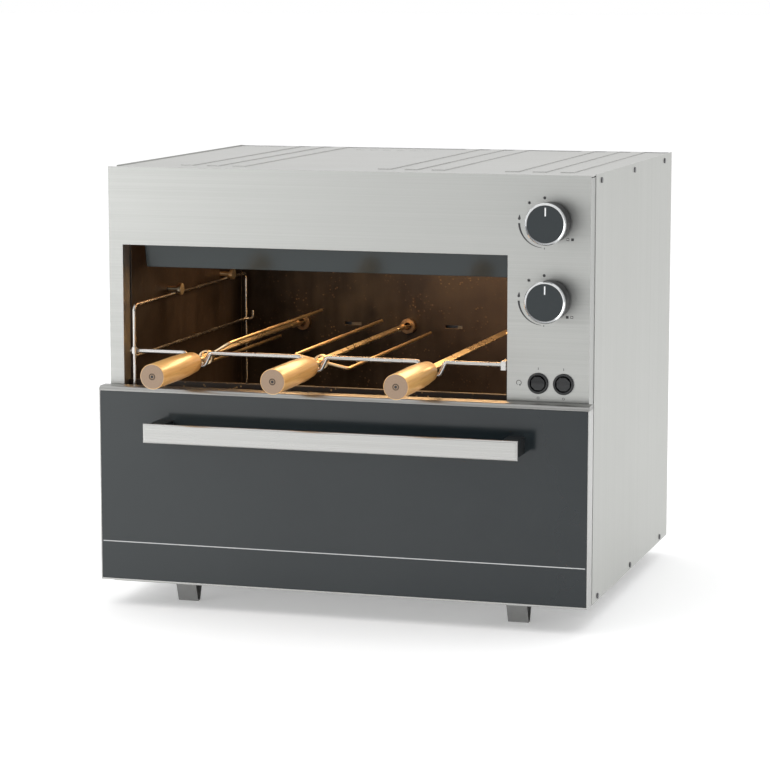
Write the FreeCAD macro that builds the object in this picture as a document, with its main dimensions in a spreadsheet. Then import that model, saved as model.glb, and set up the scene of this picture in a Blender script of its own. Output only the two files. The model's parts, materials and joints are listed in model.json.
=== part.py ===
"""Countertop gas rotisserie: brushed cabinet, open roasting chamber with three turning skewers, glass door below.

The model stands on the floor plane Z = 0 with X across, -Y towards the user and +Z up.
Inside this file Y = 0 is the outer face of the fascia; layout.shift_y then moves every piece so
that the middle of the whole object is at the origin.
"""
import FreeCAD, Part
import Sketcher
import math
import os
import re

from FreeCAD import Vector

doc = FreeCAD.newDocument("Rotisserie")

# ---------------------------------------------------------------------------------------------
# Driving sizes, in millimetres and degrees
# ---------------------------------------------------------------------------------------------
SIZES = [
    # cabinet
    ("cabinet_width", 570.0), ("cabinet_height", 487.0), ("cabinet_depth", 462.0),
    ("foot_height", 24.0), ("skin", 1.0), ("seam", 0.5), ("frame_depth", 26.0),
    ("screw_head_rad", 3.2), ("screw_head_tall", 1.4), ("screw_rad", 1.7), ("screw_reach", 5.0),
    # fascia
    ("left_strip", 17.0), ("column_width", 94.0), ("top_band", 90.0), ("fascia_bottom", 236.5),
    ("fascia_lap", 2.8),
    ("control_inset", 43.7), ("knob_drop", 51.8), ("knob_spacing", 86.2), ("switch_drop", 232.3),
    ("switch_spacing", 29.0),
    # chamber
    ("liner", 1.0), ("chamber_depth", 408.0), ("chamber_top", 425.0), ("chamber_floor", 20.0),
    ("liner_gap", 13.0), 
    # skewers and their drive
    ("skewer_height", 263.5), ("middle_skewer", -40.5), ("tooth_module", 1.5), ("gear_teeth", 47.0),
    ("pinion_teeth", 12.0), ("backlash", 0.25), ("motor_shaft_rad", 2.5), ("gear_thick", 6.0),
    ("gear_back", 8.0),
    ("shaft_rad", 2.8), ("neck_end", 36.0), ("blade_wide", 10.0), ("blade_thick", 3.4), 
    ("grip_length", 136.0), ("grip_rad", 14.2), ("grip_tail_rad", 10.5), ("grip_front", 133.0),
    ("fork_rad", 33.0), ("fork_wire", 1.9), ("fork_start", 42.0), ("fork_reach", 350.0),
    ("socket_rad", 7.5), ("socket_wall", 1.6), ("socket_nose", 10.0), ("running_fit", 0.06),
    ("tip_fit", 0.5), ("tip_reach", 14.0),
    # rest bar and side frames
    ("bar_rad", 2.6), ("bar_height", 272.4), ("bar_back", 11.4), ("bar_bend", 7.0), ("dip_half", 9.0),
    ("wire_rad", 1.9), ("side_wire_in", 10.5), ("side_wire_front", 6.2), ("side_wire_back", 396.0),
    ("top_rail", 326.0), ("middle_rail", 266.5), ("rack_rail", 176.0), ("low_rail", 70.0),
    ("wire_bend", 7.0), ("ledge_in", 8.0),
    # rack and tray
    ("rack_wire", 2.0), ("tray_height", 24.0), ("slide_gap", 2.0), ("slide_lift", 0.3),
    # door
    ("door_overhang", 5.5), ("door_proud", 23.0), ("door_gap", 3.0), ("door_bottom", 6.0),
    ("glass_top", 228.7), ("glass_thick", 5.0), ("trim_rise", 5.5), ("handle_length", 440.0),
    ("handle_tall", 22.6), ("handle_thick", 3.0), ("handle_stand", 44.0), ("handle_middle", 188.0),
    ("hinge_up", 10.0), ("hinge_back", 6.0), ("pin_rad", 3.0),
    # controls
    ("knob_rad", 22.4), ("ring_rad", 23.3), ("knob_deep", 30.0), ("knob_gap", 4.2), ("stem_rad", 4.0),
    ("stem_flat", 3.0), ("knob_wall", 2.0), ("bezel_rad", 11.8), ("bezel_proud", 2.4),
    ("bezel_bore", 9.2), ("paddle_rad", 7.6), ("switch_deep", 22.0),
    # gas and electrics
    ("line_y", 66.0), ("pipe_rad", 5.0), ("tube_rad", 3.0), ("inlet_rad", 6.35), ("inlet_drop", 24.0),
    ("inlet_reach", 18.0),
    ("burner_left_x", -148.0), ("burner_right_x", 70.0), ("burner_wide", 196.0), ("burner_deep", 250.0),
    ("burner_tall", 38.0), ("plaque_thick", 12.0),
]

sizes = doc.addObject("Spreadsheet::Sheet", "sizes")
for row, (alias, number) in enumerate(SIZES, start=1):
    sizes.set(f"A{row}", alias)
    sizes.set(f"B{row}", str(number))
    sizes.setAlias(f"B{row}", alias)
doc.recompute()

# ---------------------------------------------------------------------------------------------
# Places and fits worked out from the driving sizes
# ---------------------------------------------------------------------------------------------
LAYOUT = [
    ("half", "cabinet_width / 2"),
    ("under", "foot_height"),
    ("top", "foot_height + cabinet_height"),
    ("window_left", "left_strip - half"),
    ("window_right", "half - column_width"),
    ("window_top", "top - top_band"),
    ("fascia_low", "under + fascia_bottom"),
    ("side_face", "half - skin"),
    ("wall_left", "window_left"),
    ("wall_right", "window_right + liner_gap"),
    ("ceiling", "under + chamber_top"),
    ("chamber_low", "under + chamber_floor"),
    ("control_x", "half - control_inset"),
    ("knob_high", "top - knob_drop"),
    ("knob_low", "knob_high - knob_spacing"),
    ("switch_z", "top - switch_drop"),
    ("axis_z", "under + skewer_height"),
    ("pitch_rad", "tooth_module * gear_teeth / 2"),
    ("pinion_rad", "tooth_module * pinion_teeth / 2"),
    ("skewer_pitch", "4 * pitch_rad"),
    ("gear_front", "chamber_depth + liner + gear_back"),
    ("gear_rear", "gear_front + gear_thick"),
    ("pinion_z", "axis_z + pitch_rad + pinion_rad"),
    ("back_face", "cabinet_depth - skin"),
    ("wire_left", "wall_left + side_wire_in"),
    ("wire_right", "wall_right - side_wire_in"),
    ("bar_z", "under + bar_height"),
    ("dip_z", "axis_z - shaft_rad - bar_rad - running_fit"),
    ("grip_rear", "grip_length - grip_front"),
    ("door_half", "half + door_overhang"),
    ("door_low", "under + door_bottom"),
    ("glass_high", "under + glass_top"),
    ("door_top", "glass_high + trim_rise"),
    ("door_front", "-door_proud"),
    ("door_back", "-door_gap"),
    ("hinge_z", "under + hinge_up"),
    ("hinge_y", "-hinge_back"),
    ("handle_front", "door_front - handle_stand"),
    ("handle_z", "under + handle_middle"),
    ("knob_front", "-knob_gap - knob_deep"),
    ("front_most", "-grip_front"),
    ("rear_most", "cabinet_depth + inlet_reach"),
    ("shift_y", "-(front_most + rear_most) / 2"),
]

layout = doc.addObject("App::VarSet", "layout")
ALIASES = {alias for alias, _ in SIZES}
PLACES = {name for name, _ in LAYOUT}


def bound(text):
    """The same expression with each known name pointing at its sheet cell or layout property."""
    def point(match):
        word = match[0]
        if word in ALIASES:
            return f"sizes.{word}"
        return f"layout.{word}" if word in PLACES else word
    return re.sub(r"[a-z_][a-z_0-9]*", point, str(text))


for name, rule in LAYOUT:
    layout.addProperty("App::PropertyFloat", name)
    layout.setExpression(name, bound(rule))
    doc.recompute()


def size(text):
    """The present value of an expression of sizes, as a plain number."""
    found = layout.evalExpression(bound(text))
    return float(getattr(found, "Value", found))


def bind(thing, **rules):
    """Bind properties to expressions; a double underscore in a name stands for a dot."""
    for prop, rule in rules.items():
        thing.setExpression(prop.replace("__", "."), bound(rule))


# ---------------------------------------------------------------------------------------------
# Building blocks
# ---------------------------------------------------------------------------------------------
NODES = []
PLANES = {"xy": "XY_Plane", "xz": "XZ_Plane", "yz": "YZ_Plane"}
UPWARD = {"xy": 1, "xz": -1, "yz": 1}     # sketch normal along the positive (1) or negative (-1) axis


def keep(thing, label=None):
    """Make a finished piece one of the object's nodes and put it in the object's own frame."""
    if label:
        thing.Label = label
    bind(thing, Placement__Base__y="shift_y")
    NODES.append(thing)
    return thing


def new_body(name):
    body = doc.addObject("PartDesign::Body", name)
    body.Label = name
    return body


def new_sketch(body, plane, level):
    """An empty sketch parallel to one of the body's own origin planes, at a height above it."""
    support = next(item for item in body.Origin.OriginFeatures if item.Role == PLANES[plane])
    sketch = body.newObject("Sketcher::SketchObject", f"{body.Name}_sketch")
    sketch.AttachmentSupport = [(support, "")]
    sketch.MapMode = "FlatFace"
    sign = "" if UPWARD[plane] > 0 else "-"
    bind(sketch, AttachmentOffset__Base__z=f"{sign}({level})")
    return sketch


def tie(sketch, geometry, vertex, place):
    """Fix a point of a sketch at a pair of expressions, measured from the sketch's origin."""
    for kind, rule in zip(("DistanceX", "DistanceY"), place):
        index = sketch.addConstraint(Sketcher.Constraint(kind, -1, 1, geometry, vertex, size(rule)))
        sketch.setExpression(f"Constraints[{index}]", bound(rule))


def add_polygon(sketch, points):
    """A closed outline through points given as pairs of expressions."""
    places = [Vector(size(across), size(along), 0) for across, along in points]
    first = sketch.GeometryCount
    for index, place in enumerate(places):
        sketch.addGeometry(Part.LineSegment(place, places[(index + 1) % len(places)]), False)
    for index in range(len(places)):
        after = first + (index + 1) % len(places)
        sketch.addConstraint(Sketcher.Constraint("Coincident", first + index, 2, after, 1))
        tie(sketch, first + index, 1, points[index])


def add_circle(sketch, centre, radius):
    middle = Vector(size(centre[0]), size(centre[1]), 0)
    index = sketch.addGeometry(Part.Circle(middle, Vector(0, 0, 1), size(radius)), False)
    tie(sketch, index, 3, centre)
    ring = sketch.addConstraint(Sketcher.Constraint("Radius", index, size(radius)))
    sketch.setExpression(f"Constraints[{ring}]", bound(radius))


def rectangle(left, right, low, high):
    return [(left, low), (right, low), (right, high), (left, high)]


def fill(sketch, outlines, circles):
    for points in outlines:
        add_polygon(sketch, points)
    for centre, radius in circles:
        add_circle(sketch, centre, radius)


def pad(body, plane, low, high, outlines=(), circles=()):
    """Add a prism between two levels along the plane's axis."""
    base = low if UPWARD[plane] > 0 else high
    sketch = new_sketch(body, plane, base)
    fill(sketch, outlines, circles)
    feature = body.newObject("PartDesign::Pad", f"{body.Name}_pad")
    feature.Profile = sketch
    bind(feature, Length=f"({high}) - ({low})")
    doc.recompute()
    return feature


def pocket(body, plane, low, high, outlines=(), circles=()):
    """Cut a prism between two levels along the plane's axis, and make sure that it cut something."""
    before = body.Shape.Volume
    base = high if UPWARD[plane] > 0 else low
    sketch = new_sketch(body, plane, base)
    fill(sketch, outlines, circles)
    feature = body.newObject("PartDesign::Pocket", f"{body.Name}_pocket")
    feature.Profile = sketch
    bind(feature, Length=f"({high}) - ({low})")
    doc.recompute()
    if body.Shape.Volume >= before:
        raise RuntimeError(f"a pocket of {body.Name} cut nothing")
    return feature


def plate(name, plane, low, high, outline, circles=(), cuts=()):
    """A flat piece: one pad, with round holes, and rectangular or shaped cuts right through it."""
    body = new_body(name)
    pad(body, plane, low, high, [outline])
    if circles or cuts:
        pocket(body, plane, low, high, cuts, circles)
    return body


def turned(name, profile, place, along="y"):
    """A turned piece: profile pairs are (radius, distance along the axis), revolved about that axis."""
    body = new_body(name)
    sketch = new_sketch(body, "xy" if along == "y" else "xz", "0")
    add_polygon(sketch, profile)
    feature = body.newObject("PartDesign::Revolution", f"{name}_turn")
    feature.Profile = sketch
    feature.ReferenceAxis = (sketch, ["V_Axis"])
    feature.Angle = 360
    doc.recompute()
    across, deep, high = place
    bind(body, Placement__Base__x=across, Placement__Base__y=f"({deep}) + shift_y", Placement__Base__z=high)
    return body


def soften(body, radius, picked):
    """Round the edges that a test on their middle point picks."""
    doc.recompute()
    tip = body.Tip
    names = [f"Edge{number}" for number, edge in enumerate(tip.Shape.Edges, start=1)
             if picked(edge, edge.valueAt((edge.FirstParameter + edge.LastParameter) / 2))]
    feature = body.newObject("PartDesign::Fillet", f"{body.Name}_round")
    feature.Base = (tip, names)
    bind(feature, Radius=radius)
    doc.recompute()
    return feature


def block(name, across, deep, high):
    """A rectangular block from (low, high) pairs of expressions along X, Y and Z."""
    thing = doc.addObject("Part::Box", name)
    bind(thing, Length=f"({across[1]}) - ({across[0]})", Width=f"({deep[1]}) - ({deep[0]})",
         Height=f"({high[1]}) - ({high[0]})", Placement__Base__x=across[0],
         Placement__Base__y=deep[0], Placement__Base__z=high[0])
    return thing


DIRECTIONS = {"x": Vector(1, 0, 0), "y": Vector(0, 1, 0), "z": Vector(0, 0, 1)}


def rod(name, radius, start, length, along):
    """A round rod from a start point, along +X, +Y or +Z."""
    thing = doc.addObject("Part::Cylinder", name)
    thing.Placement.Rotation = FreeCAD.Rotation(Vector(0, 0, 1), DIRECTIONS[along])
    bind(thing, Radius=radius, Height=length, Placement__Base__x=start[0],
         Placement__Base__y=start[1], Placement__Base__z=start[2])
    return thing


def fused(name, parts):
    thing = doc.addObject("Part::MultiFuse", name)
    thing.Shapes = parts
    return thing


def minus(name, base, tool):
    thing = doc.addObject("Part::Cut", name)
    thing.Base = base
    thing.Tool = tool
    return thing


def grouped(name, parts):
    """Several identical loose pieces, such as screws, as one node."""
    thing = doc.addObject("Part::Compound", name)
    thing.Links = parts
    return thing


def shaped(name, shape):
    """A node whose shape is worked out with Part's own functions from the sheet's sizes."""
    thing = doc.addObject("Part::Feature", name)
    thing.Shape = shape
    return thing


def point(across, deep, high):
    return Vector(size(across), size(deep), size(high))


def rounded_path(points, radius):
    """Straight runs through points, joined by tangent arcs of one radius."""
    edges = []
    last = points[0]
    for before, corner, after in zip(points, points[1:], points[2:]):
        into = (corner - before).normalize()
        out = (after - corner).normalize()
        turn = into.getAngle(out)
        setback = radius * math.tan(turn / 2)
        start = corner - into * setback
        finish = corner + out * setback
        middle = corner + (out - into).normalize() * (radius / math.cos(turn / 2) - radius)
        edges.append(Part.LineSegment(last, start).toShape())
        edges.append(Part.Arc(start, middle, finish).toShape())
        last = finish
    edges.append(Part.LineSegment(last, points[-1]).toShape())
    return Part.Wire(edges)


def bent(points, radius, bend):
    """A solid round wire along a rounded path."""
    path = rounded_path(points, bend)
    heading = (points[1] - points[0]).normalize()
    section = Part.Wire([Part.Circle(points[0], heading, radius).toShape()])
    return path.makePipeShell([section], True, True)


# ---------------------------------------------------------------------------------------------
# Cabinet
# ---------------------------------------------------------------------------------------------
def side_screw_places():
    """Along each side panel: three near the top and three near the bottom."""
    first, last = "frame_depth + 26", "cabinet_depth - 48"
    return [(deep, high) for high in ("top - 8", "under + 6")
            for deep in (first, f"({first} + {last}) / 2", last)]


def cabinet():
    screw_holes = [((deep, high), "screw_rad + 0.2") for deep, high in side_screw_places()]
    side = rectangle("frame_depth", "cabinet_depth", "under", "top")
    keep(plate("side_panel_left", "yz", "-half", "-side_face", side, screw_holes))
    keep(plate("side_panel_right", "yz", "side_face", "half", side, screw_holes))

    # top sheet with front-to-back ribs in three groups and short vents near the back
    sheet = new_body("top_panel")
    inner = "side_face - seam"
    pad(sheet, "xy", "top - 2.5", "top - 1.5", [rectangle(f"-({inner})", inner, "skin + seam",
                                                          "back_face - seam")])
    ribs = [rectangle(f"{middle} + {step} - 8", f"{middle} + {step} + 8", "60", "back_face - 6")
            for middle in (-178, 62, 212) for step in (-32, 0, 32)]
    pad(sheet, "xy", "top - 1.6", "top - 0.4", ribs)
    vents = [rectangle(f"{across} - 6", f"{across} + 6", "back_face - 44", "back_face - 38")
             for across in (-110, -92, -74, -56, -38, -20)]
    pocket(sheet, "xy", "top - 2.5", "top - 0.4", vents)
    keep(sheet)

    rear = plate("back_panel", "xz", "back_face", "cabinet_depth",
                 rectangle(f"-({inner})", inner, "under", "top - 0.5"),
                 [(("control_x", "top - inlet_drop"), "inlet_rad + 1.6"),
                  (("half - 40", "under + 60"), "6.2")],
                 [rectangle(f"{across} - 30", f"{across} + 30", f"under + {high}", f"under + {high} + 4")
                  for across in (-150, 0, 150) for high in (60, 72, 84, 380, 392, 404)])
    keep(rear)
    floor = plate("base_pan", "xy", "under", "under + skin",
                  rectangle(f"-({inner})", inner, "frame_depth + 0.4", "back_face - seam"),
                  (), [rectangle(f"{across} - 40", f"{across} + 40", f"{deep}", f"{deep} + 6")
                       for across in (-120, 0, 120) for deep in (150, 170, 290, 310)])
    keep(floor)

    # formed front frame: an open rectangle behind the fascia, with returns that meet the side panels
    frame = new_body("front_frame")
    edge = "half - 0.8"
    pad(frame, "xz", "skin + 0.2", "frame_depth - 0.3",
        [rectangle(f"-({edge})", edge, "under", "top - 3.2")])
    pocket(frame, "xz", "skin + 0.2", "frame_depth - 0.3",
           [rectangle("window_left - 1.6", "wall_right + 0.4", "chamber_low - 3", "top - 60"),
            rectangle("wall_right + 2.5", f"{edge} - skin", "under + 12", "top - 6")])
    pocket(frame, "xz", "skin + 1.4", "frame_depth - 0.3",
           [rectangle(f"skin - ({edge})", "window_left - 2.8", "under + skin", "top - 4.2")])
    pocket(frame, "xz", "skin + 1.4", "frame_depth - 0.3",
           [rectangle("window_left - 1.6", "wall_right + 0.4", "top - 59", "top - 4.2")])
    keep(frame)

    fascia = new_body("fascia")
    pad(fascia, "xz", "0", "skin", [rectangle("-half", "half", "fascia_low - fascia_lap", "top")])
    pocket(fascia, "xz", "0", "skin", [rectangle("window_left", "window_right",
                                                 "fascia_low - fascia_lap - 1", "window_top")],
           [((f"control_x", level), "stem_rad + 2") for level in ("knob_high", "knob_low")]
           + [((f"control_x + {side} * switch_spacing / 2", "switch_z"),
               "bezel_rad - 1.6") for side in (-1, 1)])
    keep(fascia)

    # the deflector hangs behind the top of the window and slants back towards its lower edge
    deflector = new_body("hood_deflector")
    pad(deflector, "yz", "window_left + 14", "window_right + 0.4",
        [[("frame_depth + 4", "window_top + 12"), ("frame_depth + 4.9", "window_top + 12"),
          ("frame_depth + 14.9", "window_top - 29"), ("frame_depth + 14", "window_top - 29")]])
    keep(deflector)

    feet = []
    for across in (-200, 200):
        for deep, way in (("14", 1), ("cabinet_depth - 40", -1)):
            foot = new_body(f"foot_{len(feet)}")
            near, far = (deep, f"{deep} + 26") if way > 0 else (f"{deep} + 26", deep)
            thick = f"({way} * 1.5)"
            pad(foot, "yz", f"{across} - 12", f"{across} + 12",
                [[(near, "under"), (f"{near} + {way} * 9", "0"), (f"{near} + {way} * 17", "0"),
                  (far, "under"), (f"{far} - {thick}", "under"), (f"{near} + {way} * 16", "1.5"),
                  (f"{near} + {way} * 10", "1.5"), (f"{near} + {thick}", "under")]])
            feet.append(foot)
    keep(grouped("feet", feet))

    screws = []
    for side in (-1, 1):
        for deep, high in side_screw_places():
            name = f"side_screw_{len(screws)}"
            head = f"{side} * half" if side > 0 else "-half - screw_head_tall"
            shank = "half - screw_reach" if side > 0 else "-half"
            screws.append(fused(name, [rod(f"{name}_head", "screw_head_rad", (head, deep, high),
                                           "screw_head_tall", "x"),
                                       rod(f"{name}_shank", "screw_rad", (shank, deep, high),
                                           "screw_reach", "x")]))
    keep(grouped("side_screws", screws))


# ---------------------------------------------------------------------------------------------
# Roasting chamber
# ---------------------------------------------------------------------------------------------
BURNERS = ("burner_left_x", "burner_right_x")


def chamber():
    front = "frame_depth"
    holes = [((f"middle_skewer + {index} * skewer_pitch", "axis_z"), "socket_rad + running_fit")
             for index in (-1, 0, 1)]
    walls = [block(name, pair, (front, "chamber_depth"), ("chamber_low", "ceiling"))
             for name, pair in (("liner_left", ("wall_left - liner", "wall_left")),
                                ("liner_right", ("wall_right", "wall_right + liner")))]
    walls.append(plate("liner_back", "xz", "chamber_depth", "chamber_depth + liner",
               rectangle("wall_left - liner", "wall_right + liner", "chamber_low", "ceiling"), holes,
               [rectangle(f"{across} - 11", f"{across} + 11", "axis_z - 2",
                          "axis_z + 2") for across in (18, -116)]))
    keep(grouped("liner_walls", walls))
    roof = plate("liner_roof", "xy", "ceiling + 0.2", "ceiling + 0.2 + liner",
               rectangle("wall_left - liner", "wall_right + liner", front, "chamber_depth + liner"), (),
               [rectangle(f"{middle} - burner_wide / 2 + 8", f"{middle} + burner_wide / 2 - 8", "90", "320")
                for middle in BURNERS])
    floor = plate("liner_base", "xy", "chamber_low - 0.2 - liner", "chamber_low - 0.2",
                  rectangle("wall_left - liner", "wall_right + liner", front, "chamber_depth + liner"))
    keep(grouped("liner_top_and_floor", [roof, floor]))
    # low rail across the front of the chamber, just behind the door's top edge
    rail = new_body("front_rail")
    pad(rail, "yz", "window_left - 1", "window_right + 0.4",
        [[("17", "fascia_low + 1"), ("24", "fascia_low + 1"), ("24", "fascia_low - 21"),
          ("23.2", "fascia_low - 21"),
          ("23.2", "fascia_low + 0.2"), ("17.8", "fascia_low + 0.2"), ("17.8", "fascia_low - 10"),
          ("17", "fascia_low - 10")]])
    keep(rail)

    boxes = []
    for index, middle in enumerate(BURNERS):
        box = new_body(f"burner_box_{index}")
        outer = rectangle(f"{middle} - burner_wide / 2", f"{middle} + burner_wide / 2", "80",
                          "80 + burner_deep")
        inner = rectangle(f"{middle} - burner_wide / 2 + 1.5", f"{middle} + burner_wide / 2 - 1.5",
                          "81.5", "78.5 + burner_deep")
        pad(box, "xy", "ceiling + 1.4", "ceiling + 1.4 + burner_tall", [outer])
        pocket(box, "xy", "ceiling + 1.4", "ceiling - 0.1 + burner_tall", [inner])
        boxes.append(box)
    keep(grouped("burner_boxes", boxes))
    tiles = [block(f"tile_{column}_{row}", (f"{middle} + {column} * 47.5 - 47",
                                            f"{middle} + {column} * 47.5 - 0.5"),
                   (f"84 + {row} * 81", f"84 + {row} * 81 + 80"),
                   ("ceiling + 1.4", "ceiling + 1.4 + plaque_thick"))
             for middle in BURNERS for column in (-1, 0, 1, 2) for row in (0, 1, 2)]
    for number, tile in enumerate(tiles):
        tile.Label = f"plaque_tile_{number}"
    keep(grouped("burner_plaques", tiles))


def side_frame(name, plane_x, side):
    """Hung wire frame: two legs and four rails, with a curled hook at the back of the middle rail."""
    near, far = "side_wire_front", "side_wire_back"
    wires = [bent([point(plane_x, near, "under + low_rail"), point(plane_x, near, "under + top_rail"),
                   point(plane_x, far, "under + top_rail"), point(plane_x, far, "under + low_rail")],
                  size("wire_rad"), size("wire_bend"))]
    inward = f"{plane_x} + {side} * ledge_in"
    for rail in ("low_rail", "rack_rail"):
        level = f"under + {rail}"
        wires.append(bent([point(plane_x, near, level), point(inward, near, level),
                           point(inward, far, level),
                           point(plane_x, far, level)], size("wire_rad"), size("wire_rad") * 1.5))
    level, beyond = "under + middle_rail", f"{far} + 1"
    curl = f"{plane_x} + {side} * 9"
    wires.append(bent([point(plane_x, f"{near} + 1", level), point(plane_x, beyond, level),
                       point(curl, beyond, level), point(curl, beyond, f"{level} + 11")],
                      size("wire_rad"), size("wire_rad") * 1.8))
    shape = wires[0].multiFuse(wires[1:])
    return shaped(name, shape.removeSplitter())


def chamber_fittings():
    keep(grouped("side_frames", [side_frame("wire_frame_left", "wire_left", 1),
                                 side_frame("wire_frame_right", "wire_right", -1)]))
    studs = []
    for wall, side in (("wall_left", 1), ("wall_right", -1)):
        for deep in ("145", "330"):
            name = f"stud_{len(studs)}"
            start = wall if side > 0 else f"{wall} - 14"
            head = f"{wall} + 14" if side > 0 else f"{wall} - 18"
            high = "under + top_rail + wire_rad + 3.1"
            studs.append(fused(name, [rod(f"{name}_shank", "3", (start, deep, high), "14", "x"),
                                      rod(f"{name}_head", "7", (head, deep, high), "4", "x")]))
    keep(grouped("hanging_studs", studs))

    middles = [f"middle_skewer + {index} * skewer_pitch" for index in (-1, 0, 1)]
    route = [("wire_left - 6", "bar_z")]
    for middle in middles:
        route += [(f"{middle} - dip_half - 7", "bar_z"), (f"{middle} - dip_half", "dip_z"),
                  (f"{middle} + dip_half", "dip_z"), (f"{middle} + dip_half + 7", "bar_z")]
    route += [("window_right - 3", "bar_z")]
    keep(shaped("rest_bar", bent([point(across, "bar_back", high) for across, high in route],
                                 size("bar_rad"), size("bar_bend") * 0.6)))
    hook = new_body("bar_hook")
    pad(hook, "yz", "window_right - 9", "window_right - 3.4",
        [rectangle("bar_back - bar_rad - 2", "bar_back + bar_rad + 12", "bar_z - bar_rad - 3",
                   "bar_z + bar_rad + 2")])
    pocket(hook, "yz", "window_right - 9", "window_right - 3.4", (),
           [(("bar_back", "bar_z"), "bar_rad + 0.05")])
    pad(hook, "yz", "window_right - 3.4", "window_right + 0.4",
        [rectangle("bar_back + bar_rad + 1", "bar_back + bar_rad + 12", "bar_z - bar_rad - 3",
                   "bar_z + bar_rad + 2")])
    collar = new_body("bar_collar")
    pad(collar, "xy", "bar_z - 3", "bar_z + 5", (), [(("wire_left", "side_wire_front"), "wire_rad + 1.6")])
    pocket(collar, "xy", "bar_z - 3", "bar_z + 5", (), [(("wire_left", "side_wire_front"),
                                                         "wire_rad + 0.05")])
    pocket(collar, "xz", "bar_back - bar_rad - 0.05", "bar_back + 6",
           [rectangle("wire_left - 8", "wire_left + 8", "bar_z - bar_rad", "bar_z + bar_rad")])
    keep(grouped("bar_clips", [hook, collar]))


# ---------------------------------------------------------------------------------------------
# Skewers and the gear train behind the chamber
# ---------------------------------------------------------------------------------------------
PRESSURE = math.radians(20)
ADDENDUM, DEDENDUM = 0.85, 1.25           # in modules


def involute(angle):
    return math.tan(angle) - angle


def gear_solid(teeth, bore, phase):
    """A spur gear about the Y axis with straight-chord involute flanks; phase turns it, in radians."""
    module, thick = size("tooth_module"), size("gear_thick")
    pitch_radius = module * teeth / 2
    base_radius = pitch_radius * math.cos(PRESSURE)
    tip, root = pitch_radius + ADDENDUM * module, pitch_radius - DEDENDUM * module
    half_tooth = math.pi / (2 * teeth) - size("backlash") / (2 * pitch_radius)
    start = max(root, base_radius)
    steps = 4
    flank = [(root, 0.0)] if root < base_radius else []
    flank += [(start + (tip - start) * step / steps, 0.0) for step in range(steps + 1)]
    profile = []
    for radius, _ in flank:
        roll = math.acos(min(1.0, base_radius / max(radius, base_radius)))
        profile.append((radius, half_tooth + involute(PRESSURE) - involute(roll)))
    points = []
    for tooth in range(int(teeth)):
        middle = phase + 2 * math.pi * tooth / teeth
        turns = [(radius, middle - half) for radius, half in profile]
        turns += [(radius, middle + half) for radius, half in reversed(profile)]
        points += [Vector(radius * math.cos(turn), 0, radius * math.sin(turn)) for radius, turn in turns]
    face = Part.Face(Part.makePolygon(points + points[:1]))
    solid = face.extrude(Vector(0, thick, 0))
    return solid.cut(Part.makeCylinder(bore, thick, Vector(0, 0, 0), Vector(0, 1, 0)))


def gear(name, teeth, bore, across, high, phase=0.0):
    thing = shaped(name, gear_solid(teeth, bore, phase))
    bind(thing, Placement__Base__x=across, Placement__Base__y="gear_front", Placement__Base__z=high)
    return thing


SPITS = [("left", -1, 32.0), ("middle", 0, -12.0), ("right", 1, None)]   # name, place, fork angle


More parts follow.
